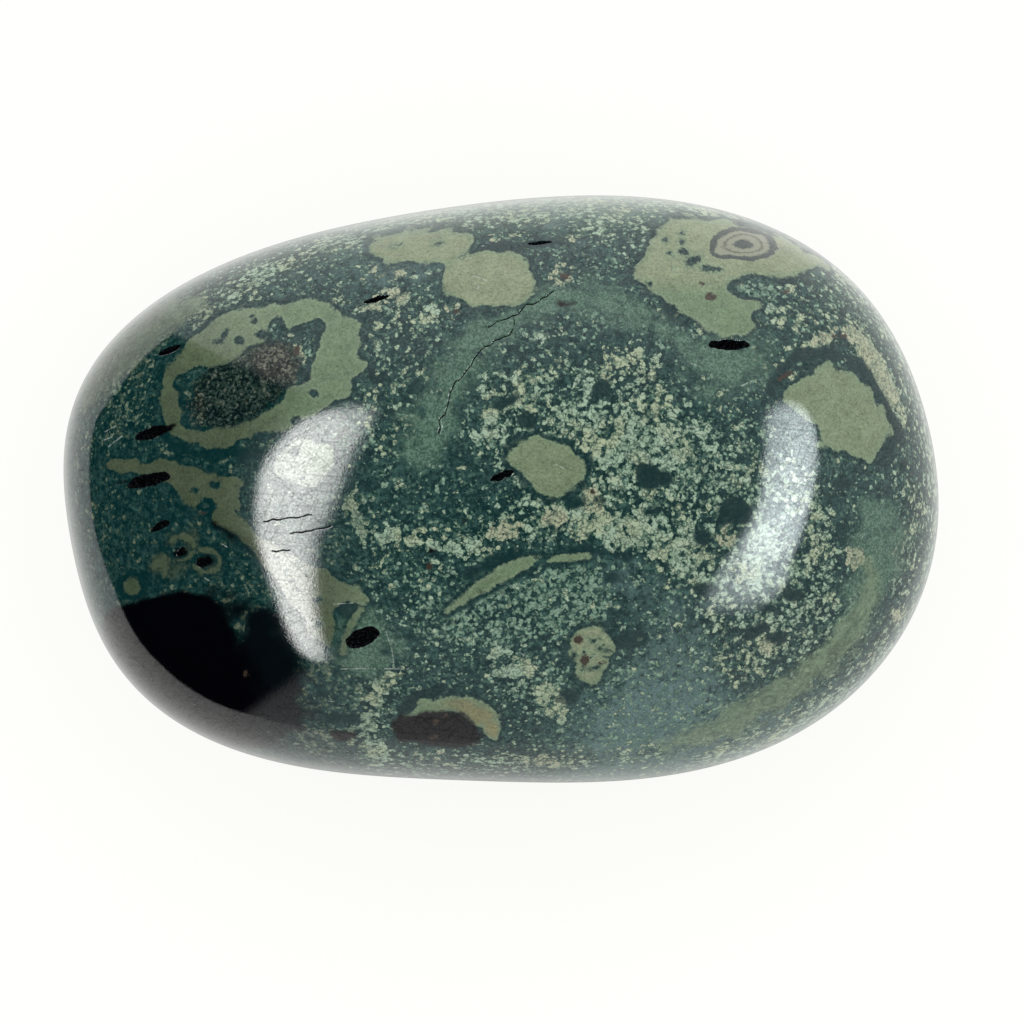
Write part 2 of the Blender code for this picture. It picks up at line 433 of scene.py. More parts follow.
# Speckle: shape, amount of grain from 0 to 1, and how softly it fades, in pixels.
SPECKLE = (
    (patch(
        (496, 380), (540, 366), (600, 362), (622, 346), (644, 352), (662, 384), (700, 412), (730, 434),
        (770, 440), (812, 470), (838, 520), (838, 580), (800, 600), (740, 584), (700, 596), (676, 588),
        (650, 566), (620, 546), (560, 536), (530, 546), (500, 556), (476, 548), (484, 520), (516, 500),
        (500, 470), (482, 440), (478, 400),
    ), 0.6, 12),
    (disc(632, 440, 72, 46, -12), 0.88, 26),
    (patch((560, 496), (640, 500), (700, 520), (716, 566), (690, 586), (640, 556), (570, 540)), 0.9, 16),
    (disc(760, 560, 50, 26, 70), 0.8, 20),
    (patch(
        (690, 596), (760, 566), (836, 560), (848, 600), (838, 640), (800, 660), (770, 680), (735, 694),
        (718, 676), (712, 640), (696, 620),
    ), 0.56, 14),
    (patch(
        (476, 650), (520, 648), (544, 672), (568, 700), (566, 726), (544, 716), (528, 692), (500, 686),
    ), 0.52, 8),
    (stroke(
        (350, 508, 14), (370, 536, 12), (411, 541, 10), (440, 545, 12), (466, 552, 14), (506, 532, 14),
    ), 0.58, 12),
    (patch((360, 300), (440, 300), (440, 350), (420, 400), (400, 470), (340, 470), (362, 400)), 0.28, 20),
    (patch((500, 350), (560, 345), (640, 340), (680, 376), (640, 370), (560, 362), (500, 372)), 0.24, 10),
    (patch((96, 356), (150, 340), (160, 380), (152, 430), (98, 450)), 0.4, 12),
    (patch((160, 446), (250, 452), (250, 470), (180, 462)), 0.34, 6),
    (patch((700, 410), (780, 400), (780, 440), (720, 440)), 0.34, 14),
    (patch((560, 205), (660, 215), (640, 250), (560, 235)), 0.56, 14),
    (patch((760, 286), (800, 280), (850, 290), (860, 320), (800, 334), (764, 326)), 0.3, 10),
    (patch(
        (836, 316), (862, 320), (880, 352), (900, 390), (912, 430), (898, 430), (878, 384), (856, 354),
    ), 0.92, 5),
    (patch((790, 344), (830, 330), (840, 342), (800, 352), (764, 356)), 0.66, 5),
    (patch((896, 480), (930, 480), (926, 560), (896, 600), (880, 590), (900, 530)), 0.46, 12),
    (patch((290, 728), (322, 724), (332, 744), (350, 752), (330, 760), (300, 752)), 0.66, 7),
    (stroke((394, 672, 7), (378, 688, 12), (370, 712, 12), (373, 738, 13), (380, 756, 13)), 0.84, 7),
    (disc(855, 559, 10, 12), 0.72, 4),
    (disc(182, 556, 21, 13, -10), 0.44, 4),
    (disc(207, 566, 15, 10), 0.44, 4),
    (disc(172, 545, 8, 5), 0.5, 3),
    (stroke((356, 690, 5), (350, 712, 5), (352, 750, 7)), 0.5, 7),
    (stroke((700, 764, 10), (785, 728, 12), (845, 697, 12), (884, 656, 12), (908, 612, 10)), 0.62, 8),
    (stroke((400, 766, 8), (540, 762, 10), (660, 752, 8)), 0.52, 10),
    (stroke(
        (200, 320, 12), (260, 276, 12), (340, 240, 12), (420, 220, 14), (520, 212, 14), (640, 212, 12),
    ), 0.66, 12),
    (stroke((850, 262, 10), (884, 316, 12), (916, 380, 12), (930, 450, 12), (932, 540, 12)), 0.56, 12),
    (stroke((110, 384, 10), (78, 440, 8), (76, 540, 8), (92, 600, 8)), 0.2, 14),
)  # fmt: skip
LACE = (
    (patch(
        (402, 590), (440, 600), (500, 574), (540, 562), (600, 560), (616, 590), (612, 626), (560, 640),
        (500, 650), (420, 650),
    ), 0.66, 12),
    (disc(560, 690, 60, 34), 0.4, 20),
    (patch((729, 278), (760, 280), (796, 284), (788, 300), (750, 304), (731, 296)), 0.55, 5),
    (disc(700, 470, 90, 50), 0.34, 30),
    (disc(150, 525, 70, 40), 0.14, 20),
    (disc(250, 600, 60, 40), 0.24, 20),
    (disc(640, 700, 90, 50), 0.36, 30),
    (disc(340, 690, 50, 50), 0.42, 20),
    (stroke((560, 740, 14), (640, 740, 14), (700, 700, 16)), 0.42, 16),
    (disc(400, 580, 60, 20), 0.34, 12),
)  # fmt: skip

# Blobs of cream, spots of tan and red-brown, and black.
CREAM = (
    stroke((864, 343, 7), (878, 366, 8), (893, 396, 7)),
    *discs(
        (484, 391, 9, 7), (491, 416, 8), (477, 437, 7, 6), (489, 437, 6), (542, 337, 9, 8),
        (771, 309, 7, 5, 20), (779, 320, 6, 8), (800, 320, 5, 7), (788, 288, 9, 5), (719, 396, 6, 5),
        (350, 505, 7, 6), (358, 520, 8), (362, 534, 6), (386, 538, 8, 5, 30), (396, 534, 5),
        (411, 541, 7, 5), (432, 545, 6), (451, 548, 8, 6), (507, 653, 8, 3, 10), (546, 508, 3),
        (222, 599, 11, 5, -12), (243, 622, 5, 11, -20), (430, 314, 12, 8, 40), (405, 300, 9, 5, 30),
        (370, 305, 12, 6, 30), (384, 248, 3), (336, 300, 4), (187, 396, 5), (203, 409, 5, 10),
        (640, 352, 5), (622, 362, 5), (698, 329, 6, 8), (728, 338, 5, 4), (657, 356, 4, 7, -30),
        (640, 640, 5), (622, 628, 3), (668, 300, 4), (500, 652, 11, 5, 10), (513, 670, 12, 8),
        (528, 668, 6, 8), (538, 692, 8, 5), (553, 690, 7, 5), (561, 704, 5, 9), (547, 712, 7, 4),
        (563, 719, 4, 6), (508, 692, 4), (502, 648, 6, 10), (500, 672, 9, 5, 30),
    ),
)  # fmt: skip
TAN = (
    stroke((296, 342, 4), (302, 356, 6), (296, 371, 4), (290, 385, 5), (284, 397, 3)),
    stroke((815, 342, 3), (828, 334, 6), (846, 330, 8), (862, 345, 7), (880, 372, 6), (896, 405, 5)),
    *discs(
        (387, 271, 25, 6, -6), (454, 311, 10, 7, -20), (560, 272, 13, 12), (503, 238, 14, 7, -5),
        (543, 763, 18, 6, -10), (855, 559, 12, 13), (554, 518, 13, 9), (592, 500, 9, 14, 20),
        (505, 530, 18, 9, 20), (725, 537, 10), (203, 514, 7, 6), (825, 337, 9, 6, 20), (770, 646, 10, 8),
        (365, 275, 9, 6), (428, 755, 20, 4), (571, 240, 9, 5), (383, 300, 26, 9, 14), (897, 614, 9, 6, 60),
    ),
)  # fmt: skip
RUST = discs(
    (842, 336, 10, 2.5, 4), (711, 297, 5, 3.5), (592, 492, 3, 4), (578, 639, 4, 4.5), (584, 661, 4, 6),
    (297, 350, 3, 5), (203, 514, 3.5, 2.5), (566, 276, 6, 3), (702, 283, 2.5, 1.5), (246, 673, 2, 4),
    (436, 722, 3.5, 2.5), (446, 715, 3), (434, 737, 6, 2.5), (784, 376, 9, 2.5, 35), (458, 312, 4, 2),
    (602, 663, 4, 1.5, 20), (429, 566, 3), (786, 292, 4, 2),
)  # fmt: skip
BLACK = (
    patch(
        (104, 614), (128, 602), (160, 594), (188, 590), (208, 596), (222, 610), (236, 630), (250, 656),
        (262, 686), (264, 706), (262, 726), (250, 744), (200, 750), (140, 710), (98, 650),
    ),
    patch(
        (394, 722), (402, 717), (410, 716), (426, 713), (442, 710), (457, 711), (470, 720), (478, 731),
        (488, 735), (480, 741), (458, 745), (440, 747), (420, 745), (398, 741), (391, 726),
    ),
    stroke((207, 519, 1), (224, 531, 1.5), (244, 543, 1.3), (262, 556, 1)),
    stroke((160, 432, 4), (170, 428, 2.5), (181, 420, 0.5)),
    stroke((112, 484, 0.6), (132, 480, 1.5)),
    *discs(
        (343, 735, 13, 7), (180, 553, 8, 6), (206, 562, 8, 5), (567, 304, 7, 1.5, 10), (464, 521, 4, 3),
        (432, 550, 5, 3), (480, 592, 2),
    ),
)  # fmt: skip
GRIT = (
    patch(
        (192, 384), (210, 368), (236, 360), (250, 346), (268, 340), (294, 343), (302, 360), (297, 380),
        (284, 396), (262, 411), (246, 423), (222, 430), (204, 424), (196, 406),
    ),
)  # fmt: skip
CRYSTALS = (
    patch((252, 352), (270, 346), (292, 350), (296, 372), (280, 384), (256, 376)),
    disc(196, 408, 8, 12),
)  # fmt: skip

GRAINY_RIM = (-76, 122)  # degrees round the pebble, anticlockwise from +X
RIM_FADE = 12  # degrees
# How high the rim's grains reach, as a share of the half height: more towards the back, and over what fade.
RIM_TOP = 0.44
RIM_TOP_RISE = 0.18
RIM_TOP_RISES = (15, 60)  # degrees
RIM_TOP_FADE = 0.36
RIM_GRAIN = 0.72  # the least amount of speckle there
RIM_PALE = 0.12  # how much paler its grains are
VEILED_RIM = (48, 78)  # degrees from which on a pale veil lies over it

EYE = (744, 244)
EYE_TILT = -4
EYE_ASPECT = 0.5
EYE_RINGS = 34  # half the length of the outermost dark ring
EYE_BULGE = (717, 255, 9, 90)  # where the rings bulge, how far, and over how wide an area

# Lines cut into the surface, in pixels of the photograph.
CRACK = (
    ((554, 291), (540, 300), (528, 305), (519, 312), (507, 319), (498, 321), (489, 327.5)),
    (
        (514, 319), (515, 326), (508, 335), (498, 340), (484, 347), (474, 360), (466, 372), (462, 377),
        (455, 381), (450, 392), (449, 403), (445, 414), (439, 421), (440, 427), (438, 433),
    ),
)  # fmt: skip
DARK_SCRATCHES = (
    ((263, 521), (288, 519), (312, 515)),
    ((290, 533), (311, 531), (331, 526)),
    ((272, 551), (290, 550)),
)
WHITE_SCRATCHES = (
    ((340, 669), (375, 668.5), (409, 669)), ((386, 633), (392, 650), (395, 671)), ((334, 604), (353, 603)),
    ((668, 618), (673, 633)), ((328, 701), (335, 702)), ((104, 432), (116, 426)), ((108, 447), (122, 436)),
    ((104, 440), (112, 437)), ((690, 363), (698, 366), (706, 371)), ((741, 386), (752, 381)),
    ((688, 426), (700, 429)), ((660, 434), (668, 440)), ((472, 276), (480, 278), (487, 281)),
    ((475, 283), (479, 286), (477, 290)), ((549, 464), (557, 465), (565, 469)),
    ((519, 652), (524, 655), (522, 660)), ((205, 578), (211, 582)), ((222, 544), (227, 547)),
)  # fmt: skip

# What is cut in, in millimetres, and how dark it is inside with painted shade, from 0 to 1.
GROOVE_HALF_WIDTH = 0.055
CRACK_DEPTH, CRACK_OPENNESS = 0.07, 0.55
SCRATCH_DEPTH, SCRATCH_OPENNESS = 0.003, 0.9
WHITE_HALF_WIDTH = 0.9 * GROOVE_HALF_WIDTH
JAGGED = 0.045  # how far cuts stray from their lines, in millimetres
JAG_SIZE = 0.28
OFF_ANY_LINE = 9.0  # a distance at which no line shows
# Where a pit's wall and its dark painted shade set in, and over how much they come in, as shares of its half
# size.
PIT_WALL = (1.04, 0.45)
PIT_PAINTED_SHADE = (1.13, 0.14)

# How long the mesh's edges may be, in millimetres.
FINEST_EDGE = 0.05
FINEST_PIT_EDGE = FINEST_EDGE * 1.3
UPPER_EDGE = 0.215
LOWER_EDGE = 0.42
LOWER_EDGE_BELOW = 5  # how far under the widest line the edges have grown to that length
GROWTH_OFF_LINES = 0.8  # how much longer the edges may be for each millimetre away from a line
GROWTH_OFF_PITS = 0.7
PIT_BORDER = 1.15  # how far out the finest edges go round a pit, as a share of its half size
TOO_LONG = 1.35  # an edge is cut from this many times the wanted length
FIRST_SUBDIVISIONS = 6


def soft_noise(points, cell, seed):
    """Smooth random values round zero, mostly between -1 and 1, whose bumps are about a cell wide."""
    random = np.random.default_rng(seed)
    total = np.zeros(len(points))
    waves = 24
    for _ in range(waves):
        way = unit(random.normal(size=3))
        pitch = cell * random.uniform(1.4, 3.2)
        total += np.sin(points @ way * math.tau / pitch + random.uniform(0, math.tau))
    return total * math.sqrt(2 / waves) * 0.7


def line_distance(points, lines):
    """The plan distance to the nearest of several lines, in millimetres."""
    plan = to_plan(points)
    nearest = np.full(len(points), np.inf)
    for line in lines:
        for start, end in zip(line, line[1:], strict=False):
            nearest = np.minimum(nearest, segment_distance(plan, start, end)[0])
    return nearest * PIXEL


def pit_frames():
    """Each pit as a place, its axes along and across, its half sizes and its depth."""
    frames = []
    for x, y, length, width, depth, degrees, side in PITS:
        direction = direction_over(x, y, side)
        normal = slopes(direction)[0]
        turn = math.radians(degrees)
        level = np.array((math.cos(turn), math.sin(turn), 0))
        along = level - np.array((0, 0, normal @ level / normal[2]))
        half_length = np.linalg.norm(along) * length / 2
        along = unit(along)
        across = np.cross(normal, along)
        frames.append((round_surface(direction)[0], along, across, half_length, width / 2, depth))
    return frames


PIT_FRAMES = pit_frames()


def pit_reach(points, pit):
    """How far points are from the middle of a pit, where 1 is its rim."""
    place, along, across, half_length, half_width, _ = pit
    offset = points - place
    reach = np.hypot(offset @ along / half_length, offset @ across / half_width)
    return np.where(np.linalg.norm(offset, axis=1) < 3 * half_length, reach, np.inf)


def wanted_edge(points):
    """How long the mesh's edges may be: short on the upper side and shortest at cuts."""
    below = smooth_step(CENTRE[2] - points[:, 2], 0, LOWER_EDGE_BELOW)
    wanted = UPPER_EDGE + (LOWER_EDGE - UPPER_EDGE) * below
    on_top = points[:, 2] > CENTRE[2]
    cuts = line_distance(points, CRACK + DARK_SCRATCHES + WHITE_SCRATCHES)
    near_cuts = np.minimum(wanted, np.maximum(FINEST_EDGE, GROWTH_OFF_LINES * cuts))
    wanted = np.where(on_top, near_cuts, wanted)
    for pit in PIT_FRAMES:
        beyond = np.maximum(pit_reach(points, pit) - PIT_BORDER, 0) * pit[4]
        wanted = np.minimum(wanted, np.maximum(FINEST_PIT_EDGE, GROWTH_OFF_PITS * beyond))
    return wanted


def refine(directions, faces):
    """Cuts every edge that is too long at its middle, and the triangles beside it to match, once."""
    sides = np.stack((faces[:, (1, 2)], faces[:, (2, 0)], faces[:, (0, 1)]), axis=1)
    sides = np.sort(sides, axis=2)
    key = sides[..., 0] * len(directions) + sides[..., 1]
    keys, edge = np.unique(key, return_inverse=True)
    edge = edge.reshape(key.shape)
    ends = np.stack(np.divmod(keys, len(directions)), axis=1)
    places = surface(directions)
    spans = places[ends[:, 1]] - places[ends[:, 0]]
    length = np.linalg.norm(spans, axis=1)
    cut = length > TOO_LONG * wanted_edge(places[ends[:, 0]] + spans / 2)
    if not cut.any():
        return directions, faces, False
    longest = length[edge].argmax(axis=1)
    longest_edge = edge[np.arange(len(faces)), longest]
    while True:
        more = longest_edge[cut[edge].any(axis=1)]
        if cut[more].all():
            break
        cut[more] = True
    number = np.full(len(keys), -1)
    number[cut] = len(directions) + np.arange(cut.sum())
    middles = unit(directions[ends[cut, 0]] + directions[ends[cut, 1]])
    order = (longest[:, None] + np.arange(3)) % 3
    rows = np.arange(len(faces))[:, None]
    a, b, c = faces[rows, order].T
    opposite_a, opposite_b, opposite_c = number[edge[rows, order]].T
    kinds = (opposite_a >= 0) + 2 * (opposite_b >= 0) + 4 * (opposite_c >= 0)
    made = [faces[kinds == 0]]
    m, p, q = opposite_a, opposite_b, opposite_c
    patterns = {
        1: ((a, b, m), (a, m, c)),
        3: ((a, b, m), (a, m, p), (p, m, c)),
        5: ((a, q, m), (q, b, m), (a, m, c)),
        7: ((a, q, p), (q, b, m), (p, m, c), (m, p, q)),
    }
    for kind, triangles in patterns.items():
        chosen = kinds == kind
        made += [np.stack(triangle, axis=1)[chosen] for triangle in triangles]
    return np.vstack((directions, middles)), np.vstack(made), True


def fine_pebble():
    """Directions and triangles of a sphere that is refined where the pebble needs it."""
    shape = bmesh.new()
    bmesh.ops.create_icosphere(shape, subdivisions=FIRST_SUBDIVISIONS, radius=1)
    directions = unit(np.array([vertex.co for vertex in shape.verts]))
    faces = np.array([[vertex.index for vertex in face.verts] for face in shape.faces])
    shape.free()
    going_on = True
    while going_on:
        directions, faces, going_on = refine(directions, faces)
    return directions, faces


def cut_depths(points):
    """How deep the surface is cut at each point, in millimetres, and how open the cut is, from 0 to 1."""
    depth = np.zeros(len(points))
    opening = np.zeros(len(points))
    jagged = points + JAGGED * soft_noise(points, JAG_SIZE, SEED + 12)[:, None] * (0.7, -0.7, 0)
    for pit in PIT_FRAMES:
        reach = pit_reach(jagged, pit)
        depth = np.maximum(depth, pit[5] * smooth_step(PIT_WALL[0] - reach, 0, PIT_WALL[1]))
        opening = np.maximum(opening, smooth_step(PIT_PAINTED_SHADE[0] - reach, 0, PIT_PAINTED_SHADE[1]))
    on_top = points[:, 2] > CENTRE[2]
    for lines, deepest, openness in (
        (CRACK, CRACK_DEPTH, CRACK_OPENNESS),
        (DARK_SCRATCHES, SCRATCH_DEPTH, SCRATCH_OPENNESS),
    ):
        distance = np.where(on_top, line_distance(jagged, lines), np.inf)
        share = np.clip(1 - distance / GROOVE_HALF_WIDTH, 0, 1)
        depth = np.maximum(depth, deepest * share)
        opening = np.maximum(opening, openness * smooth_step(share, 0.1, 0.8))
    return depth, opening


def eye_distance(plan):
    """The distance from the middle of the eye in pixels along its length, with its rings as ellipses."""
    turn = math.radians(EYE_TILT)
    across, up = plan[:, 0] - EYE[0], EYE[1] - plan[:, 1]
    along = across * math.cos(turn) + up * math.sin(turn)
    aside = up * math.cos(turn) - across * math.sin(turn)
    x, y, reach, area = EYE_BULGE
    bulge = reach * np.exp(-((plan[:, 0] - x) ** 2 + (plan[:, 1] - y) ** 2) / area)
    return np.hypot(along, aside / EYE_ASPECT) - bulge


def amounts(parts, plan, ground):
    """The greatest amount that the parts ask for, over an amount everywhere."""
    total = np.full(len(plan), ground, float)
    for shape, amount, fade in parts:
        total = np.maximum(total, amount * fading(shape(plan), fade))
    return total


def rim_shares(points):
    """How near the edge of the upper side is, from 0 to 1, along the rim's grainy part and its veiled part.
    """
    height = (points[:, 2] - CENTRE[2]) / SCALE[2]
    around = np.degrees(np.arctan2(points[:, 1] - CENTRE[1], points[:, 0] - CENTRE[0]))
    first, last = GRAINY_RIM
    along = smooth_step(around, first - RIM_FADE, first + RIM_FADE) * fading(last - around, RIM_FADE)
    highest = RIM_TOP + RIM_TOP_RISE * smooth_step(around, *RIM_TOP_RISES)
    grainy = along * smooth_step(highest - height, 0, RIM_TOP_FADE)
    return grainy, grainy * smooth_step(around, *VEILED_RIM)


# The least amounts of speckle and lace outside their shapes, and how bright markings are at the dim left.
LEAST_SPECKLE = -0.13
LEAST_LACE = 0.16
# The dimness at the left is painted shade.
PAINTED_SHADE_AT_LEFT = 0.45
HIDDEN_BELOW = (0.05, 0.35)  # how far down the hidden markings set in and are whole, from 0 to 1


def photographed_fields(points):
    """The markings that the photograph shows, as fields over the vertices."""
    plan = to_plan(points)
    x, y = plan.T
    ragged = 2.8 * soft_noise(points, 0.9, SEED) + 2.0 * soft_noise(points, 0.4, SEED + 1)
    olive = np.minimum(union(OLIVE, plan), -RING_CORE(plan))
    olive = olive + 0.8 * ragged + 1.8 * soft_noise(points, 0.6, SEED + 13)
    olive = np.maximum(olive, union(THIN_OLIVE, plan) + 0.25 * ragged)
    olive = np.minimum(olive, -union(GAPS, plan))
    bits = union(BITS_IN_BLACK, plan)
    softer = 1 - 0.75 * smooth_step(x, 205, 235) * smooth_step(300 - x, 0, 20)
    black = (union(BLACK, plan) + 0.5 * ragged) * softer

    bare = smooth_step(250 - x, 0, 50) * smooth_step(y, 430, 480)
    rim, veil = rim_shares(points)
    grain = amounts(SPECKLE, plan, LEAST_SPECKLE) + 0.09 * soft_noise(points, 1.2, SEED + 2)
    grain = np.maximum(grain - 0.10 * bare, RIM_GRAIN * rim)
    lace = amounts(LACE, plan, LEAST_LACE) + 0.06 * soft_noise(points, 1.6, SEED + 3) - 0.12 * bare

    khaki = fading(union((ORB_A, ORB_B, ORB_F, RIM_KHAKI), plan))
    upper_d = fading(285 - y, 14) * fading(PATCH_D(plan))
    tan_orbs = 0.5 * fading(union((ORB_E, ORB_C, STRIP, SWEEP), plan))
    ring_left = 0.35 * fading(280 - x, 40) * fading(RING_ORB(plan))

    teal = smooth_step(union(TEAL, plan) + 3 * ragged, -30, 26)
    lower_right = smooth_step(y, 650, 740) * smooth_step(x, 520, 600)
    tone = 0.30 + 0.16 * smooth_step(x, 200, 420) + 0.3 * teal + 0.38 * lower_right
    tone += 0.5 * rim - 0.5 * np.clip(grain - 0.2, 0, 0.4)
    # Painted shade: darker markings at the left and lower left, where the room's dark side lights less.
    lit = np.maximum(smooth_step(x - 0.9 * (y - 330), 120, 300), smooth_step(x, 320, 390))
    shade = PAINTED_SHADE_AT_LEFT + (1 - PAINTED_SHADE_AT_LEFT) * lit - 0.08 * bare
    return {
        "olive": olive,
        "faint_olive": union(FAINT_OLIVE, plan) + ragged,
        "khaki": np.maximum.reduce((khaki, upper_d, tan_orbs, ring_left)),
        "brown": fading(CRESCENT(plan)) * smooth_step(x, 420, 475),
        "speckle": grain,
        "lace": lace,
        "mist": fading(union(MIST, plan) + 2 * ragged, 12),
        "tone": tone,
        "band": union(DARK_BANDS, plan) + 0.7 * ragged,
        "cream": union(CREAM, plan),
        "tan": union(TAN, plan),
        "rust": union(RUST, plan),
        "black": np.minimum(black, -bits),
        "grit": union(GRIT, plan),
        "crystals": union(CRYSTALS, plan),
        "eye": eye_distance(plan),
        "shade": shade * (1 + RIM_PALE * rim),
        "veil": veil,
        "dusk": smooth_step(np.minimum(DUSK(plan), -2 * bits) + 2 * ragged, -10, 16),
    }


def hidden_fields(points):
    """Markings of the same kinds for the side that lies underneath, placed at random."""
    random = np.random.default_rng(SEED)
    plan = to_plan(points)

    def scatter(count, low, high, flattest=0.6):
        shapes = []
        for _ in range(count):
            angle, reach = random.uniform(0, math.tau), math.sqrt(random.uniform(0, 0.85))
            half = random.uniform(low, high)
            x = STONE_MIDDLE[0] + 0.5 * STONE_PIXELS * reach * math.cos(angle)
            y = STONE_MIDDLE[1] + 0.5 * STONE_PIXELS * WIDTH / LENGTH * reach * math.sin(angle)
            aspect = random.uniform(flattest, 1)
            shapes.append(disc(x, y, half, half * aspect, random.uniform(0, 180)))
        return shapes

    ragged = 5 * soft_noise(points, 1.0, SEED + 4)
    broad = soft_noise(points, 4.0, SEED + 5)
    olive = union(scatter(11, 16, 46), plan) + ragged
    olive = np.minimum(olive, -union(scatter(26, 3, 9), plan))
    return {
        "olive": olive,
        "faint_olive": 14 * soft_noise(points, 2.5, SEED + 6) - 12,
        "khaki": smooth_step(soft_noise(points, 5.0, SEED + 7), -0.4, 0.6),
        "speckle": 0.30 + 0.24 * broad,
        "lace": 0.26 - 0.2 * broad,
        "mist": smooth_step(soft_noise(points, 3.0, SEED + 8), 0.1, 0.9),
        "tone": 0.45 + 0.2 * soft_noise(points, 3.5, SEED + 9),
        "band": 8 * soft_noise(points, 1.6, SEED + 10) - 8,
        "cream": union(scatter(40, 3, 8), plan),
        "tan": union(scatter(14, 6, 16), plan),
        "rust": union(scatter(12, 2, 5), plan),
        "black": union(scatter(7, 6, 30, 0.35), plan) + ragged,
        "grit": union(scatter(4, 8, 20), plan),
        "crystals": union(scatter(3, 4, 9), plan),
        "eye": np.full(len(points), 4.0 * EYE_RINGS),
        "shade": 0.9 + 0.12 * broad,
        **{name: np.zeros(len(points)) for name in ("brown", "veil", "dusk")},
    }


def blended_fields(points, directions):
    """The photographed markings above, and below them the hidden ones."""
    below = smooth_step(-directions[:, 2], *HIDDEN_BELOW)
    shown, hidden = photographed_fields(points), hidden_fields(points)
    return {name: shown[name] * (1 - below) + hidden[name] * below for name in shown}


# The map for baking: the upper side is the large chart, and the lower side a smaller one below it.
UPPER_CHART = (0.5, 0.665, 0.485)  # the middle, and half the chart's length, of one
LOWER_CHART = (0.5, 0.17, 0.235)


def chart_places(directions, faces):
    """Where each corner of each triangle goes on the map: plan directions, spread evenly from the crown."""
    level = np.hypot(directions[:, 0], directions[:, 1])
    plan = directions[:, :2] / np.maximum(level, 1e-9)[:, None]
    from_top = np.arctan2(level, directions[:, 2]) / (math.pi / 2)
    is_upper = directions[faces].sum(axis=1)[:, 2] > 0
    places = np.empty((len(faces), 3, 2))
    for chosen, reach, (x, y, half), way in (
        (is_upper, from_top, UPPER_CHART, 1),
        (~is_upper, 2 - from_top, LOWER_CHART, -1),
    ):
        spot = plan * reach[:, None] * (half, way * half * SCALE[1] / SCALE[0]) + (x, y)
        places[chosen] = spot[faces[chosen]]
    return places


def stone_mesh():
    directions, faces = fine_pebble()
    points = surface(directions)
    depth, opening = cut_depths(points)
    points = points - depth[:, None] * slopes(directions)
    mesh = bpy.data.meshes.new("tumbled_stone")
    mesh.from_pydata((points * MM).tolist(), [], faces.tolist())
    mesh.shade_smooth()
    fields = blended_fields(surface(directions), directions)
    fields["opening"] = opening
    on_top = points[:, 2] > CENTRE[2]
    white = np.where(on_top, line_distance(points, WHITE_SCRATCHES), OFF_ANY_LINE)
    fields["scratch"] = np.clip(1 - white / WHITE_HALF_WIDTH, 0, 1)
    for name, values in fields.items():
        layer = mesh.attributes.new(name, "FLOAT", "POINT")
        layer.data.foreach_set("value", values.astype(np.float32))
    chart = mesh.uv_layers.new(name="OFBake")
    chart.data.foreach_set("uv", chart_places(directions, faces).astype(np.float32).ravel())
    return mesh


class Value:
    """An output of a node. Values take +, - and * with each other and with plain numbers."""

    def __init__(self, graph, socket):
        self.graph = graph
        self.socket = socket

    def __add__(self, other):
        return self.graph.math("ADD", self, other)

    def __sub__(self, other):
        return self.graph.math("SUBTRACT", self, other)

    def __rsub__(self, other):
        return self.graph.math("SUBTRACT", other, self)

    def __mul__(self, other):
        return self.graph.math("MULTIPLY", self, other)


class Graph:
    """Builds a node tree from expressions of numbers, colours and values."""

    def __init__(self, tree):
        self.tree = tree
        tree.nodes.clear()

    def node(self, kind, inputs=(), **settings):
        made = self.tree.nodes.new(kind)
        for name, value in settings.items():
            setattr(made, name, value)
        for name, value in dict(inputs).items():
            self.put(made.inputs[name], value)
        return made

    def put(self, socket, value):
        if isinstance(value, Value):
            self.tree.links.new(value.socket, socket)
        elif isinstance(value, tuple) and socket.type == "RGBA":
            socket.default_value = (*value, 1)
        else:
            socket.default_value = value

    def value(self, kind, inputs=(), output=0, **settings):
        return Value(self, self.node(kind, inputs, **settings).outputs[output])

    def math(self, operation, *values):
        return self.value("ShaderNodeMath", dict(enumerate(values)), operation=operation)

    def step(self, value, low, high):
        """Goes smoothly from 0 at the low value to 1 at the high one."""
        inputs = {"Value": value, "From Min": low, "From Max": high}
        return self.value("ShaderNodeMapRange", inputs, interpolation_type="SMOOTHSTEP")

    def field(self, name):
        return self.value("ShaderNodeAttribute", output="Fac", attribute_name=name)

    def parts(self, vector):
        """The x, y and z of a vector."""
        return [Value(self, part) for part in self.node("ShaderNodeSeparateXYZ", {0: vector}).outputs]

    def noise(self, place, per_mm, detail, roughness=0.5, output="Fac"):
        inputs = {"Vector": place, "Scale": per_mm, "Detail": detail, "Roughness": roughness}
        return self.value("ShaderNodeTexNoise", inputs, output)

    def warp(self, place, per_mm, reach):
        """The place moved about by noise, by up to about a reach in millimetres."""
        inputs = {0: self.noise(place, per_mm, 2, output="Color"), 1: (2 * reach,) * 3, 2: place}
        return self.value("ShaderNodeVectorMath", inputs, operation="MULTIPLY_ADD")

    def cells(self, place, per_mm):
        """Rounded grains: the distance to the nearest one's middle, that middle, and its random value."""
        outputs = self.node("ShaderNodeTexVoronoi", {"Vector": place, "Scale": per_mm}).outputs
        reach, middle, colour = (Value(self, outputs[name]) for name in ("Distance", "Position", "Color"))
        return reach, middle, self.value("ShaderNodeSeparateColor", {0: colour}, 1)

    def mix(self, share, first, second):
        """A colour that goes from the first to the second as the share goes from 0 to 1."""
        return self.value("ShaderNodeMix", {0: share, 6: first, 7: second}, 2, data_type="RGBA")

    def brighten(self, colour, factor):
        """A colour times a number."""
        return self.value("ShaderNodeVectorMath", {0: colour, "Scale": factor}, operation="SCALE")

    def ramp(self, value, stops):
        """Follows stops of a position from 0 to 1, and a colour or a grey level."""
        made = self.node("ShaderNodeValToRGB", {0: value})
        elements = made.color_ramp.elements
        elements.remove(elements[-1])
        for number, (position, shade) in enumerate(stops):
            element = elements.new(position) if number else elements[0]
            element.position = position
            element.color = (*shade, 1) if isinstance(shade, tuple) else (shade, shade, shade, 1)
        return Value(self, made.outputs[0])


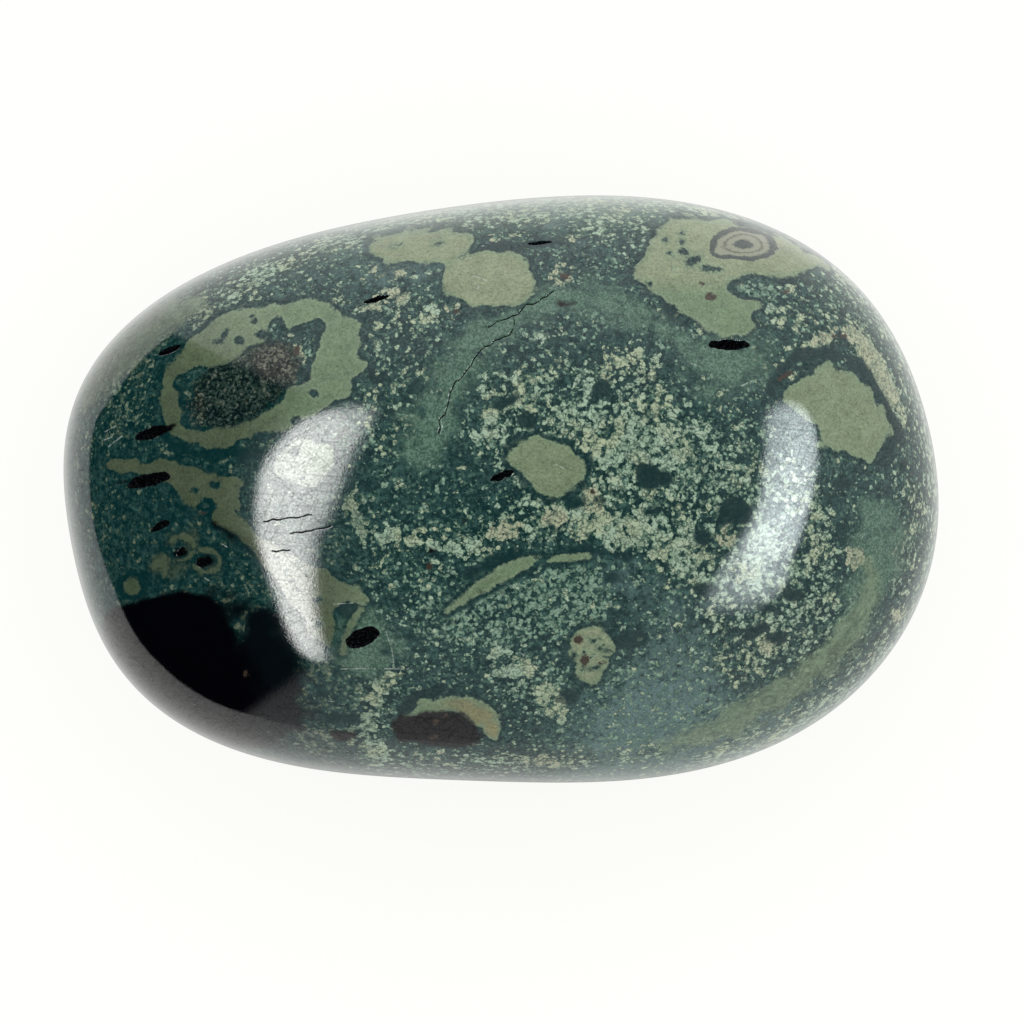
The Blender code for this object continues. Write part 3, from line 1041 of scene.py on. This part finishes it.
def new_material(name, kind=Graph):
    """A material, and the graph that fills it."""
    material = bpy.data.materials.new(name)
    material.use_nodes = True
    return material, kind(material.node_tree)


# Colours of the minerals, linear.
DEEP_GROUND = (0.0025, 0.0220, 0.0230)
SLATE_GROUND = (0.0260, 0.0700, 0.0640)
SLATE_PALE = (0.0980, 0.1680, 0.1620)
GHOST_GREEN = (0.0560, 0.1200, 0.0920)
MIST_DARK = (0.0440, 0.0980, 0.0680)
MIST_PALE = (0.1150, 0.2000, 0.1450)
LACE_DIM = (0.0520, 0.1120, 0.0800)
LACE_PALE = (0.1900, 0.2950, 0.2200)
GRAIN_SHADOW = (0.0080, 0.0380, 0.0330)
GRAIN_DIM = (0.0850, 0.1500, 0.1020)
GRAIN_MINT = (0.3000, 0.4100, 0.3000)
GRAIN_CREAM = (0.3500, 0.4100, 0.2700)
GRAIN_TAN = (0.3400, 0.3650, 0.2450)
OLIVE_GREEN = (0.1300, 0.1950, 0.1120)
KHAKI = (0.2050, 0.2430, 0.1480)
RIM_GREEN = (0.1650, 0.2300, 0.1420)
OLIVE_SHADOW = (0.0450, 0.0750, 0.0480)
TAN_BROWN = (0.1900, 0.1890, 0.0980)
RUST_COLOUR = (0.0380, 0.0270, 0.0190)
BLACK_COLOUR = (0.0010, 0.0011, 0.0022)
VEIL_COLOUR = (0.2300, 0.2750, 0.2450)
DUSK_COLOUR = (0.0016, 0.0036, 0.0050)
GRIT_DARK = (0.0020, 0.0070, 0.0070)
GRIT_MID = (0.0220, 0.0420, 0.0340)
GRIT_PALE = (0.1250, 0.1350, 0.1080)
CRYSTAL_DARK = (0.0080, 0.0120, 0.0100)
CRYSTAL_PALE = (0.1600, 0.1560, 0.1180)
EYE_PALE = (0.2350, 0.2500, 0.1850)
EYE_DARK = (0.0440, 0.0620, 0.0560)
EYE_BROWN = (0.0850, 0.0880, 0.0620)
SCRATCH_COLOUR = (0.3800, 0.4400, 0.3900)
# Painted shade for the insides of the pits, the crack and the dark scratches.
HOLLOW_PAINTED_SHADE = (0.0010, 0.0011, 0.0016)
HOLLOW_PAINTED_SHADE_PALE = (0.0160, 0.0190, 0.0220)

# How fine the noises are that the finish shares, and its grains, in waves or cells a millimetre.
COARSE_PER_MM = 1.1
FINE_PER_MM = 5.0
DUST_PER_MM = 9.0
SPECKLE_CLUSTERS, SPECKLE_CELLS = 1.8, 3.1
LACE_CLUSTERS, LACE_CELLS = 2.2, 4.6
EDGE_JITTER = 8.0  # how far the noises push the markings' edges, in pixels of the photograph
VEIL_SHARE = 0.36  # how much of the upper rim's colour is the pale veil
HOLLOW_EDGE = (0.10, 0.45)  # how open a cut is where its dark inside sets in and is whole
SCRATCH_DEGREES = (-42, -5, 28, 66)
HAIRLINE_STRENGTH = 0.26
HAIRLINE_STRETCH = (0.30, 10.0, 1.0)
REFRACTION = 1.54
EYE_STOPS = (
    (0.0, EYE_DARK), (0.24, EYE_DARK), (0.32, EYE_PALE), (0.46, EYE_PALE), (0.54, EYE_BROWN),
    (0.6, EYE_PALE), (0.7, EYE_PALE), (0.78, EYE_DARK), (0.97, EYE_DARK), (1.0, EYE_PALE),
)  # fmt: skip


# The shade field sets how bright the markings are: painted shade at the left and lower left,
# paler towards the upper rim, and at random on the hidden side.
class StoneFinish(Graph):
    """The pebble's colour, layer over layer, on the fields that its vertices carry."""

    def __init__(self, tree):
        super().__init__(tree)
        place = self.value("ShaderNodeTexCoord", output="Object")
        self.place = self.brighten(place, 1 / MM)
        self.coarse = self.noise(self.place, COARSE_PER_MM, 4, 0.6)
        self.fine = self.noise(self.place, FINE_PER_MM, 3, 0.65)
        self.dust = self.noise(self.place, DUST_PER_MM, 2, 0.6)
        self.warped = self.warp(self.place, 4.0, 0.12)
        self.jitter = (self.coarse - 0.5) * EDGE_JITTER + (self.fine - 0.5) * EDGE_JITTER
        self.band = self.inside("band", 2.5)
        self.split = self.crevices(3.6, 0.085)
        self.on_orbs = self.inside("olive", 1.4, 0.8)
        self.hue = self.step(self.noise(self.place, 0.55, 2), 0.42, 0.62)
        self.hard = None  # where the hard minerals are, known once the speckle is laid

    def inside(self, name, soft=1.2, wobble=1.0):
        """Where a signed distance is positive, with its edge broken up by noise."""
        return self.step(self.field(name) + self.jitter * wobble, -soft, soft)

    def crevices(self, per_mm, width):
        """Thin wandering lines: 0 along them and 1 off them."""
        aside = self.math("ABSOLUTE", self.noise(self.place, per_mm, 1) - 0.5)
        return self.step(aside, 0.0, width)

    def free_room(self):
        """Where no orb, dark band or mist keeps the grains away."""
        halo = self.step(self.field("olive"), -8.0, -4.0)
        return (1 - self.band * 0.94) * (1 - halo * 0.92) * (1 - self.field("mist") * 0.8)

    def grains(self, clusters_per_mm, cells_per_mm, density, more=0.0):
        """How far a place is inside jagged clusters of grains, and a random value for its grain."""
        reach, middle, random = self.cells(self.warped, cells_per_mm)
        whole = self.noise(middle, clusters_per_mm, 2)
        loose = self.noise(self.place, 1.7 * clusters_per_mm, 1)
        rounding = self.math("MINIMUM", 0.48 - reach, 0.20)
        value = whole * 0.42 + loose * 0.78 + rounding * 0.44
        value = value + (self.coarse - 0.5) * 0.20 + (self.dust - 0.5) * 0.12
        value = value + density * 0.36 + (random - 0.64) * (1 - density) * 0.34 - 0.78 + more
        return value, random

    def grain_light(self, value, random, edge, dusty, least):
        """How pale a grain is: paler away from the cluster's edge, and uneven."""
        return self.step(value, 0.0, edge) * 0.65 + (random - 0.5) * 0.6 + (self.dust - 0.5) * dusty + least

    def ground(self):
        """Deep navy green mottled with slate, and dim grains that lie under the surface."""
        level = self.noise(self.place, 2.6, 5, 0.75)
        tone = self.field("tone")
        low = 0.51 - tone * 0.25
        slate = self.mix(self.step(tone, 0.5, 1.0), SLATE_GROUND, SLATE_PALE)
        mottled = self.brighten(slate, self.dust * 1.5 + self.fine * 1.5 - 0.5)
        colour = self.mix(self.step(level, low, low + 0.26), DEEP_GROUND, mottled)
        ghosts = self.step(self.fine, 0.51, 0.60) * self.step(self.coarse, 0.38, 0.58)
        return self.mix(ghosts * self.field("shade") * 0.9, colour, GHOST_GREEN)

    def mist(self, colour):
        """Soft green zones of fine texture."""
        speck = self.fine + (self.dust - 0.5) * 1.4
        pale = self.mix(self.step(speck, 0.32, 0.70), MIST_DARK, MIST_PALE)
        share = self.field("mist") * self.step(self.coarse, 0.24, 0.50) * 0.92
        return self.mix(share, colour, pale)

    def lace(self, colour, room):
        """Fine dim grains that form a ragged net."""
        value, random = self.grains(LACE_CLUSTERS, LACE_CELLS, self.field("lace"))
        light = self.grain_light(value, random, 0.14, 1.4, 0.12)
        grain = self.brighten(self.mix(light, LACE_DIM, LACE_PALE), self.split * 0.5 + 0.6)
        share = self.step(value, -0.02, 0.02) * room
        return self.mix(share, colour, self.brighten(grain, self.field("shade")))

    def speckle(self, colour, room):
        """Pale grains, which crowd together in blobs where the cream and tan fields say so."""
        tan = self.field("tan")
        blobs = self.step(self.field("cream"), -3.0, 3.0) * 0.28 + self.step(tan, -4.0, 4.0) * 0.17
        value, random = self.grains(SPECKLE_CLUSTERS, SPECKLE_CELLS, self.field("speckle"), blobs)
        room = self.math("MAXIMUM", room, self.step(blobs, 0.06, 0.2))
        colour = self.mix(self.step(value, -0.07, 0.0) * room * 0.6, colour, GRAIN_SHADOW)
        pale = self.mix(self.hue, GRAIN_MINT, GRAIN_CREAM)
        pale = self.mix(self.step(tan, -6.0, 2.0), pale, GRAIN_TAN)
        light = self.grain_light(value, random, 0.13, 1.8, 0.14)
        grain = self.brighten(self.mix(light, GRAIN_DIM, pale), self.split * 0.35 + 0.72)
        open_lines = (1 - self.split) * (self.step(value, 0.10, 0.30) * 0.3 - 0.72) + 1.0
        share = self.step(value, -0.012, 0.016) * room * open_lines
        self.hard = self.math("MAXIMUM", share, self.on_orbs)
        return self.mix(share, colour, self.brighten(grain, self.field("shade")))

    def orbs(self, colour):
        """Dark bands and halos first, then the olive and khaki masses."""
        field = self.field("olive")
        colour = self.mix(self.band * 0.8, colour, DEEP_GROUND)
        broken = self.step(self.coarse, 0.4, 0.6) * 0.5 + 0.3
        colour = self.mix(self.step(field, -6.5, -1.5) * broken, colour, DEEP_GROUND)
        inner = self.mix(self.field("khaki"), OLIVE_GREEN, KHAKI)
        inner = self.mix(self.field("brown"), inner, TAN_BROWN)
        olive = self.mix(self.step(field + self.jitter, 0.0, 5.0), RIM_GREEN, inner)
        light = self.fine * 0.9 + self.coarse * 0.8 + self.dust * 1.1 + self.split * 0.1 - 0.48
        olive = self.brighten(olive, light * self.field("shade"))
        olive = self.mix(self.step(self.fine, 0.64, 0.72) * 0.55, olive, OLIVE_SHADOW)
        squiggles = (1 - self.crevices(1.9, 0.016)) * self.step(self.coarse, 0.50, 0.60)
        olive = self.mix(squiggles * 0.4, olive, OLIVE_SHADOW)
        faint = self.inside("faint_olive", 6.0, 2.0) * 0.75
        colour = self.mix(faint, colour, self.streaked(olive))
        return self.mix(self.on_orbs, colour, olive)

    def streaked(self, colour):
        """A colour with dark streaks that run along the faint olive bands."""
        x, y, _ = self.parts(self.place)
        inputs = {0: self.field("faint_olive") * 0.16, 1: x * 0.18 + y * 0.13}
        streaks = self.noise(self.value("ShaderNodeCombineXYZ", inputs), 1.6, 4, 0.6)
        return self.brighten(colour, self.step(streaks, 0.36, 0.62) * 0.35 + 0.68)

    def dark_cores(self, colour):
        """Grit in the middle of some orbs, with paler crystals in it."""
        crumbs = self.noise(self.place, 5.5, 2, 0.7) + (self.coarse - 0.5) * 0.3
        grit = self.mix(self.step(crumbs, 0.42, 0.56), GRIT_DARK, GRIT_MID)
        grit = self.mix(self.step(crumbs, 0.58, 0.70), grit, GRIT_PALE)
        colour = self.mix(self.inside("grit", 3.0, 1.8) * 0.92, colour, grit)
        crystals = self.mix(self.step(crumbs, 0.48, 0.66), CRYSTAL_DARK, CRYSTAL_PALE)
        return self.mix(self.inside("crystals", 6.0, 2.0) * 0.7, colour, crystals)

    def dark_marks(self, colour):
        """The dusky zone, black, and red-brown spots."""
        colour = self.mix(self.field("dusk"), colour, DUSK_COLOUR)
        colour = self.mix(self.inside("black", 2.6, 1.0), colour, BLACK_COLOUR)
        rusty = self.inside("rust", 1.0, 1.0) * self.step(self.fine, 0.30, 0.42)
        return self.mix(rusty, colour, RUST_COLOUR)

    def eye(self, colour):
        """Thin rings in the khaki patch."""
        reach = self.field("eye") + self.jitter * 1.1
        rings = self.ramp(self.math("DIVIDE", reach, EYE_RINGS), EYE_STOPS)
        return self.mix(self.step(reach, EYE_RINGS + 1.0, EYE_RINGS - 1.0), colour, rings)

    def cuts(self, colour):
        """Pale scratches, and the insides of the pits, the crack and the dark scratches in painted shade."""
        scratched = self.step(self.field("scratch"), 0.2, 0.9) * self.step(self.fine, 0.40, 0.55) * 0.85
        colour = self.mix(scratched, colour, SCRATCH_COLOUR)
        painted_hollow_shade = self.mix(self.step(self.dust, 0.45, 0.75), HOLLOW_PAINTED_SHADE, HOLLOW_PAINTED_SHADE_PALE)
        return self.mix(self.step(self.field("opening"), *HOLLOW_EDGE), colour, painted_hollow_shade)

    def colour(self):
        colour = self.mist(self.ground())
        room = self.free_room()
        colour = self.speckle(self.lace(colour, room), room)
        colour = self.dark_cores(self.orbs(colour))
        colour = self.eye(self.dark_marks(colour))
        return self.cuts(self.mix(self.field("veil") * VEIL_SHARE, colour, VEIL_COLOUR))

    def polish(self):
        """Roughness, mirror strength and relief: a good polish with fine wear, and none in the pits."""
        opening = self.field("opening")
        roughness = self.fine * 0.03 + opening * 0.4 + 0.03
        wear = self.noise(self.place, 10.0, 2, 0.6)
        worn = (wear - 0.5) * 1.8 + self.crevices(6.0, 0.04) * 0.36 + 0.72
        for degrees in SCRATCH_DEGREES:
            worn = worn * (1 - self.hairlines(degrees) * HAIRLINE_STRENGTH)
        mineral = self.hard * 0.22 + 0.90
        specular = (1 - self.step(opening, *HOLLOW_EDGE)) * worn * mineral * 0.5
        relief = {"Strength": 0.25, "Distance": 0.004 * MM, "Height": wear + self.fine}
        return roughness, specular, self.value("ShaderNodeBump", relief)

    def hairlines(self, degrees):
        """Faint straight scratches that run at an angle over the plan: 1 along them."""
        turned = self.value("ShaderNodeVectorRotate", {"Vector": self.place, "Angle": math.radians(-degrees)})
        drawn = self.value("ShaderNodeVectorMath", {0: turned, 1: HAIRLINE_STRETCH}, operation="MULTIPLY")
        return self.step(self.noise(drawn, 1.0, 1), 0.60, 0.68)


def stone_material():
    material, graph = new_material("polished_orbicular_stone", StoneFinish)
    colour = graph.colour()
    roughness, specular, normal = graph.polish()
    inputs = {
        "Base Color": colour,
        "Roughness": roughness,
        "IOR": REFRACTION,
        "Specular IOR Level": specular,
        "Normal": normal,
    }
    graph.node("ShaderNodeOutputMaterial", {"Surface": graph.value("ShaderNodeBsdfPrincipled", inputs)})
    return material


def build_stone():
    stone = bpy.data.objects.new("tumbled_stone", stone_mesh())
    bpy.context.scene.collection.objects.link(stone)
    stone.data.materials.append(stone_material())
    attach(stone, "root")
    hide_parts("stone")


# Light and stage. The room that the polish mirrors: bright all round, dim overhead and dark behind the left
# side, with two long softboxes. Elevations are above the horizon and azimuths anticlockwise from +X, both in
# degrees. The dark part has four limits each way: where it sets in and is whole, and fades and is over.
ROOM_BY_ELEVATION = (
    (-90, 0.5), (-75, 0.75), (-60, 0.9), (-45, 0.95), (-20, 0.95), (0, 1.0), (25, 0.9), (45, 0.8),
    (55, 0.6), (65, 0.4), (75, 0.25), (90, 0.15),
)  # fmt: skip
ROOM_BY_AZIMUTH = (
    (0, 0.9), (40, 1.0), (90, 1.4), (120, 1.1), (130, 1.0), (240, 0.5), (262, 0.6), (280, 0.62), (300, 0.9),
    (340, 0.7), (360, 0.9),
)  # fmt: skip
BRIGHTEST = 1.5  # the ramps hold levels as shares of this
DARK_AZIMUTHS = (130.5, 131.5, 244, 247)
DARK_ELEVATIONS = (-42, -38, 50, 57)
DOME_LIGHT = 1.06
DOME_LEAN = 0.35  # how much brighter the dome is towards its bright side
DOME_BRIGHT_SIDE = math.radians(60)

# Each softbox is given by where it is mirrored in the stone: rows of y, the left and right x in pixels of the
# photograph, and how strong its glow is there. Across, the glow follows one profile from left to right.
SOFTBOX_HEIGHT = 3.0  # metres
LEFT_REFLECTION = (
    (404, 344, 372, 0.15), (412, 322, 373, 0.6), (420, 302, 371, 0.85), (436, 284, 362, 1.0),
    (455, 269, 352, 1.0), (475, 260, 345, 1.0), (500, 256, 336, 1.0), (520, 255, 327, 0.9),
    (540, 258, 317, 0.95), (560, 264, 316, 1.0), (580, 270, 315, 1.0), (600, 277, 315, 1.0),
    (620, 284, 318, 1.0), (640, 293, 322, 1.0), (652, 301, 326, 0.9), (662, 312, 327, 0.3),
)  # fmt: skip
RIGHT_REFLECTION = (
    (402, 779, 798, 0.3), (412, 768, 808, 0.7), (425, 765, 814, 0.8), (440, 766, 817, 0.92),
    (460, 764, 818, 0.92), (480, 762, 815, 0.96), (500, 760, 811, 1.0), (520, 752, 806, 1.0),
    (535, 743, 801, 1.0), (550, 735, 795, 0.9), (565, 722, 789, 0.66), (580, 714, 788, 0.56),
    (595, 706, 778, 0.42), (608, 698, 762, 0.2), (620, 700, 740, 0.0),
)  # fmt: skip
ACROSS_LEFT = ((0.0, 0.75), (0.15, 1.0), (0.55, 1.0), (0.8, 0.75), (1.0, 0.45))
ACROSS_RIGHT = ((0.0, 0.5), (0.25, 0.9), (0.55, 1.1), (0.85, 1.0), (1.0, 0.7))
# Each one's name, place of its reflection, profile across, colour and strength.
SOFTBOXES = (
    ("softbox_left", LEFT_REFLECTION, ACROSS_LEFT, (0.99, 1.0, 0.975), 15.2),
    ("softbox_right", RIGHT_REFLECTION, ACROSS_RIGHT, (0.90, 0.98, 1.0), 13.4),
)


def glow_material(name, colour, strength):
    material, graph = new_material(name)
    glow = graph.value("ShaderNodeEmission", {"Color": colour, "Strength": graph.field("glow") * strength})
    graph.node("ShaderNodeOutputMaterial", {"Surface": glow})
    material.cycles.emission_sampling = "NONE"
    return material


def mirrored_place(x, y, height):
    """Where the camera's ray through a pixel goes after the polish mirrors it, at a height in metres."""
    direction = seen_direction(x, y)
    place = surface(direction)[0] * MM
    normal = slopes(direction)[0]
    to_camera = unit(camera_place() - place)
    way = 2 * (normal @ to_camera) * normal - to_camera
    return place + way * (height - place[2]) / way[2]


def build_softboxes():
    """They show only in the polish: the dome lights everything else."""
    for name, rows, across, colour, strength in SOFTBOXES:
        points, glows, faces = [], [], []
        columns = len(across)
        for y, left, right, glow in rows:
            for share, level in across:
                points.append(tuple(mirrored_place(left + share * (right - left), y, SOFTBOX_HEIGHT)))
                glows.append(glow * level)
        for row in range(len(rows) - 1):
            for column in range(columns - 1):
                a = row * columns + column
                faces.append((a, a + 1, a + 1 + columns, a + columns))
        mesh = bpy.data.meshes.new(name)
        mesh.from_pydata(points, [], faces)
        layer = mesh.attributes.new("glow", "FLOAT", "POINT")
        layer.data.foreach_set("value", glows)
        box = stage_piece(name, mesh, glow_material(name, colour, strength))
        box.visible_camera = box.visible_diffuse = box.visible_shadow = False


FLOOR_GLOW = 0.868
FLOOR_TINT = (1.0, 1.0, 0.955)
FLOOR_COLOUR = (0.15, 0.15, 0.165)
# How bright the floor looks in the polish: by azimuth, and by the distance from the outline in millimetres.
FLOOR_BY_AZIMUTH = (
    (0, 1.08), (40, 1.27), (62, 1.38), (78, 1.25), (104, 1.25), (118, 1.4), (141, 1.32), (162, 1.2),
    (190, 1.18), (219, 1.13), (242, 1.05), (255, 0.98), (268, 0.8), (278, 0.74), (290, 0.86), (320, 0.99),
    (360, 1.08),
)  # fmt: skip
# Painted contact shadow: the mirrored floor is dimmer within a few millimetres of the outline.
FLOOR_BY_DISTANCE = ((0, 0.38), (1, 0.50), (2, 0.70), (4, 0.92), (7, 1.0), (12, 1.0), (20, 0.92))
# How far it reaches by azimuth, and its level there: beyond it the polish mirrors the dark or the room.
FLOOR_REACH = (
    (0, 60), (128, 60), (132, 58), (148, 58), (163, 33), (190, 33), (200, 44), (215, 45), (222, 50),
    (242, 50), (248, 60), (360, 60),
)  # fmt: skip
FLOOR_EDGE_LEVEL = 0.85
FLOOR_SEGMENTS = 120
FAR_FLOOR = 3.0  # metres from the middle to each side
FAR_FLOOR_DROP = 0.1  # millimetres that it lies below the near floor


def by_value(graph, value, start, end, stops):
    """A level that follows stops of (value, level) from the start to the end."""
    share = graph.math("DIVIDE", value - start, end - start)
    shares = [((place - start) / (end - start), level / BRIGHTEST) for place, level in stops]
    return graph.ramp(share, shares) * BRIGHTEST


def floor_material():
    material, graph = new_material("pale_floor")
    is_mirrored = graph.value("ShaderNodeLightPath", output="Is Glossy Ray")
    # Glossy rays see the glow scaled by the mirrored field, which holds the painted contact shadow.
    share = is_mirrored * (graph.field("mirrored") - 1.0) + 1.0
    glow = graph.value("ShaderNodeEmission", {"Color": FLOOR_TINT, "Strength": share * FLOOR_GLOW})
    matt = graph.value("ShaderNodeBsdfDiffuse", {"Color": FLOOR_COLOUR})
    both = graph.value("ShaderNodeAddShader", {0: glow, 1: matt})
    graph.node("ShaderNodeOutputMaterial", {"Surface": both})
    material.cycles.emission_sampling = "NONE"
    return material


def outline_at(degrees):
    """The outline's place and its outward direction at an angle round the pebble, in millimetres."""
    angle = math.radians(degrees)
    directions = np.array(((math.cos(angle), math.sin(angle), 0.0),))
    outward = slopes(directions)[0, :2]
    return round_surface(directions)[0, :2], outward / np.linalg.norm(outward)


def near_floor_mesh():
    """Rings round the outline, and the floor inside it. Each vertex holds how bright the polish shows it."""
    angles = [360 * i / FLOOR_SEGMENTS for i in range(FLOOR_SEGMENTS)]
    points, mirrored = [], []
    for distance, shade in (*FLOOR_BY_DISTANCE, (None, FLOOR_EDGE_LEVEL)):
        for degrees in angles:
            place, outward = outline_at(degrees)
            facing = math.degrees(math.atan2(outward[1], outward[0])) % 360
            reach = np.interp(facing, *zip(*FLOOR_REACH, strict=True)) if distance is None else distance
            x, y = (place + outward * reach) * MM
            points.append((x, y, 0))
            mirrored.append(shade * float(np.interp(facing, *zip(*FLOOR_BY_AZIMUTH, strict=True))))
    faces = [tuple(range(FLOOR_SEGMENTS))]
    for ring in range(len(FLOOR_BY_DISTANCE)):
        for i in range(FLOOR_SEGMENTS):
            a, b = ring * FLOOR_SEGMENTS + i, ring * FLOOR_SEGMENTS + (i + 1) % FLOOR_SEGMENTS
            faces.append((a, a + FLOOR_SEGMENTS, b + FLOOR_SEGMENTS, b))
    mesh = bpy.data.meshes.new("floor_near")
    mesh.from_pydata(points, [], faces)
    mesh.attributes.new("mirrored", "FLOAT", "POINT").data.foreach_set("value", mirrored)
    return mesh


def stage_piece(name, mesh, material):
    mesh.materials.append(material)
    piece = bpy.data.objects.new(name, mesh)
    bpy.context.scene.collection.objects.link(piece)
    return piece


def build_floor():
    """The floor near the pebble, and more of it a little lower that only the camera and the light see."""
    material = floor_material()
    stage_piece("floor_near", near_floor_mesh(), material)
    sides = ((-1, -1), (1, -1), (1, 1), (-1, 1))
    corners = [(x * FAR_FLOOR, y * FAR_FLOOR, -FAR_FLOOR_DROP * MM) for x, y in sides]
    far = bpy.data.meshes.new("floor_far")
    far.from_pydata(corners, [], [(0, 1, 2, 3)])
    outer = stage_piece("floor_far", far, material)
    outer.visible_glossy = outer.visible_shadow = False


def build_room():
    """What lies beyond the stage: a room for the polish, a soft dome for matt shading, white for the eye."""
    world = bpy.data.worlds.new("room")
    world.use_nodes = True
    bpy.context.scene.world = world
    world.cycles.sampling_method = "NONE"
    graph = Graph(world.node_tree)
    x, y, z = graph.parts(graph.value("ShaderNodeTexCoord", output="Generated"))
    elevation = graph.math("ARCSINE", z) * (180 / math.pi)
    azimuth = graph.math("WRAP", graph.math("ARCTAN2", y, x) * (180 / math.pi), 360.0, 0.0)
    room = by_value(graph, elevation, -90, 90, ROOM_BY_ELEVATION)
    room = room * by_value(graph, azimuth, 0, 360, ROOM_BY_AZIMUTH)
    dark = (
        graph.step(azimuth, *DARK_AZIMUTHS[:2])
        * (1 - graph.step(azimuth, *DARK_AZIMUTHS[2:]))
        * graph.step(elevation, *DARK_ELEVATIONS[:2])
        * (1 - graph.step(elevation, *DARK_ELEVATIONS[2:]))
    )
    lean = x * (DOME_LEAN * math.cos(DOME_BRIGHT_SIDE)) + y * (DOME_LEAN * math.sin(DOME_BRIGHT_SIDE))
    light = (lean + 1.0) * DOME_LIGHT
    for ray, look in (("Is Glossy Ray", room * (1 - dark)), ("Is Camera Ray", 1.0)):
        is_ray = graph.value("ShaderNodeLightPath", output=ray)
        light = graph.value("ShaderNodeMix", {"Factor": is_ray, "A": light, "B": look}, data_type="FLOAT")
    background = graph.value("ShaderNodeBackground", {"Color": (1, 1, 1), "Strength": light})
    graph.node("ShaderNodeOutputWorld", {"Surface": background})


def build_camera():
    """Looks straight down, so that the pebble lies in the picture as it does in the photograph."""
    data = bpy.data.cameras.new("camera")
    data.sensor_width = SENSOR
    data.lens = SENSOR * CAMERA_HEIGHT / (PHOTO_SIDE * PIXEL * MM)
    camera = bpy.data.objects.new("camera", data)
    camera.location = camera_place()
    bpy.context.scene.collection.objects.link(camera)
    bpy.context.scene.camera = camera


build_stone()
build_floor()
build_softboxes()
build_room()
build_camera()
bpy.context.scene.view_settings.view_transform = "Standard"
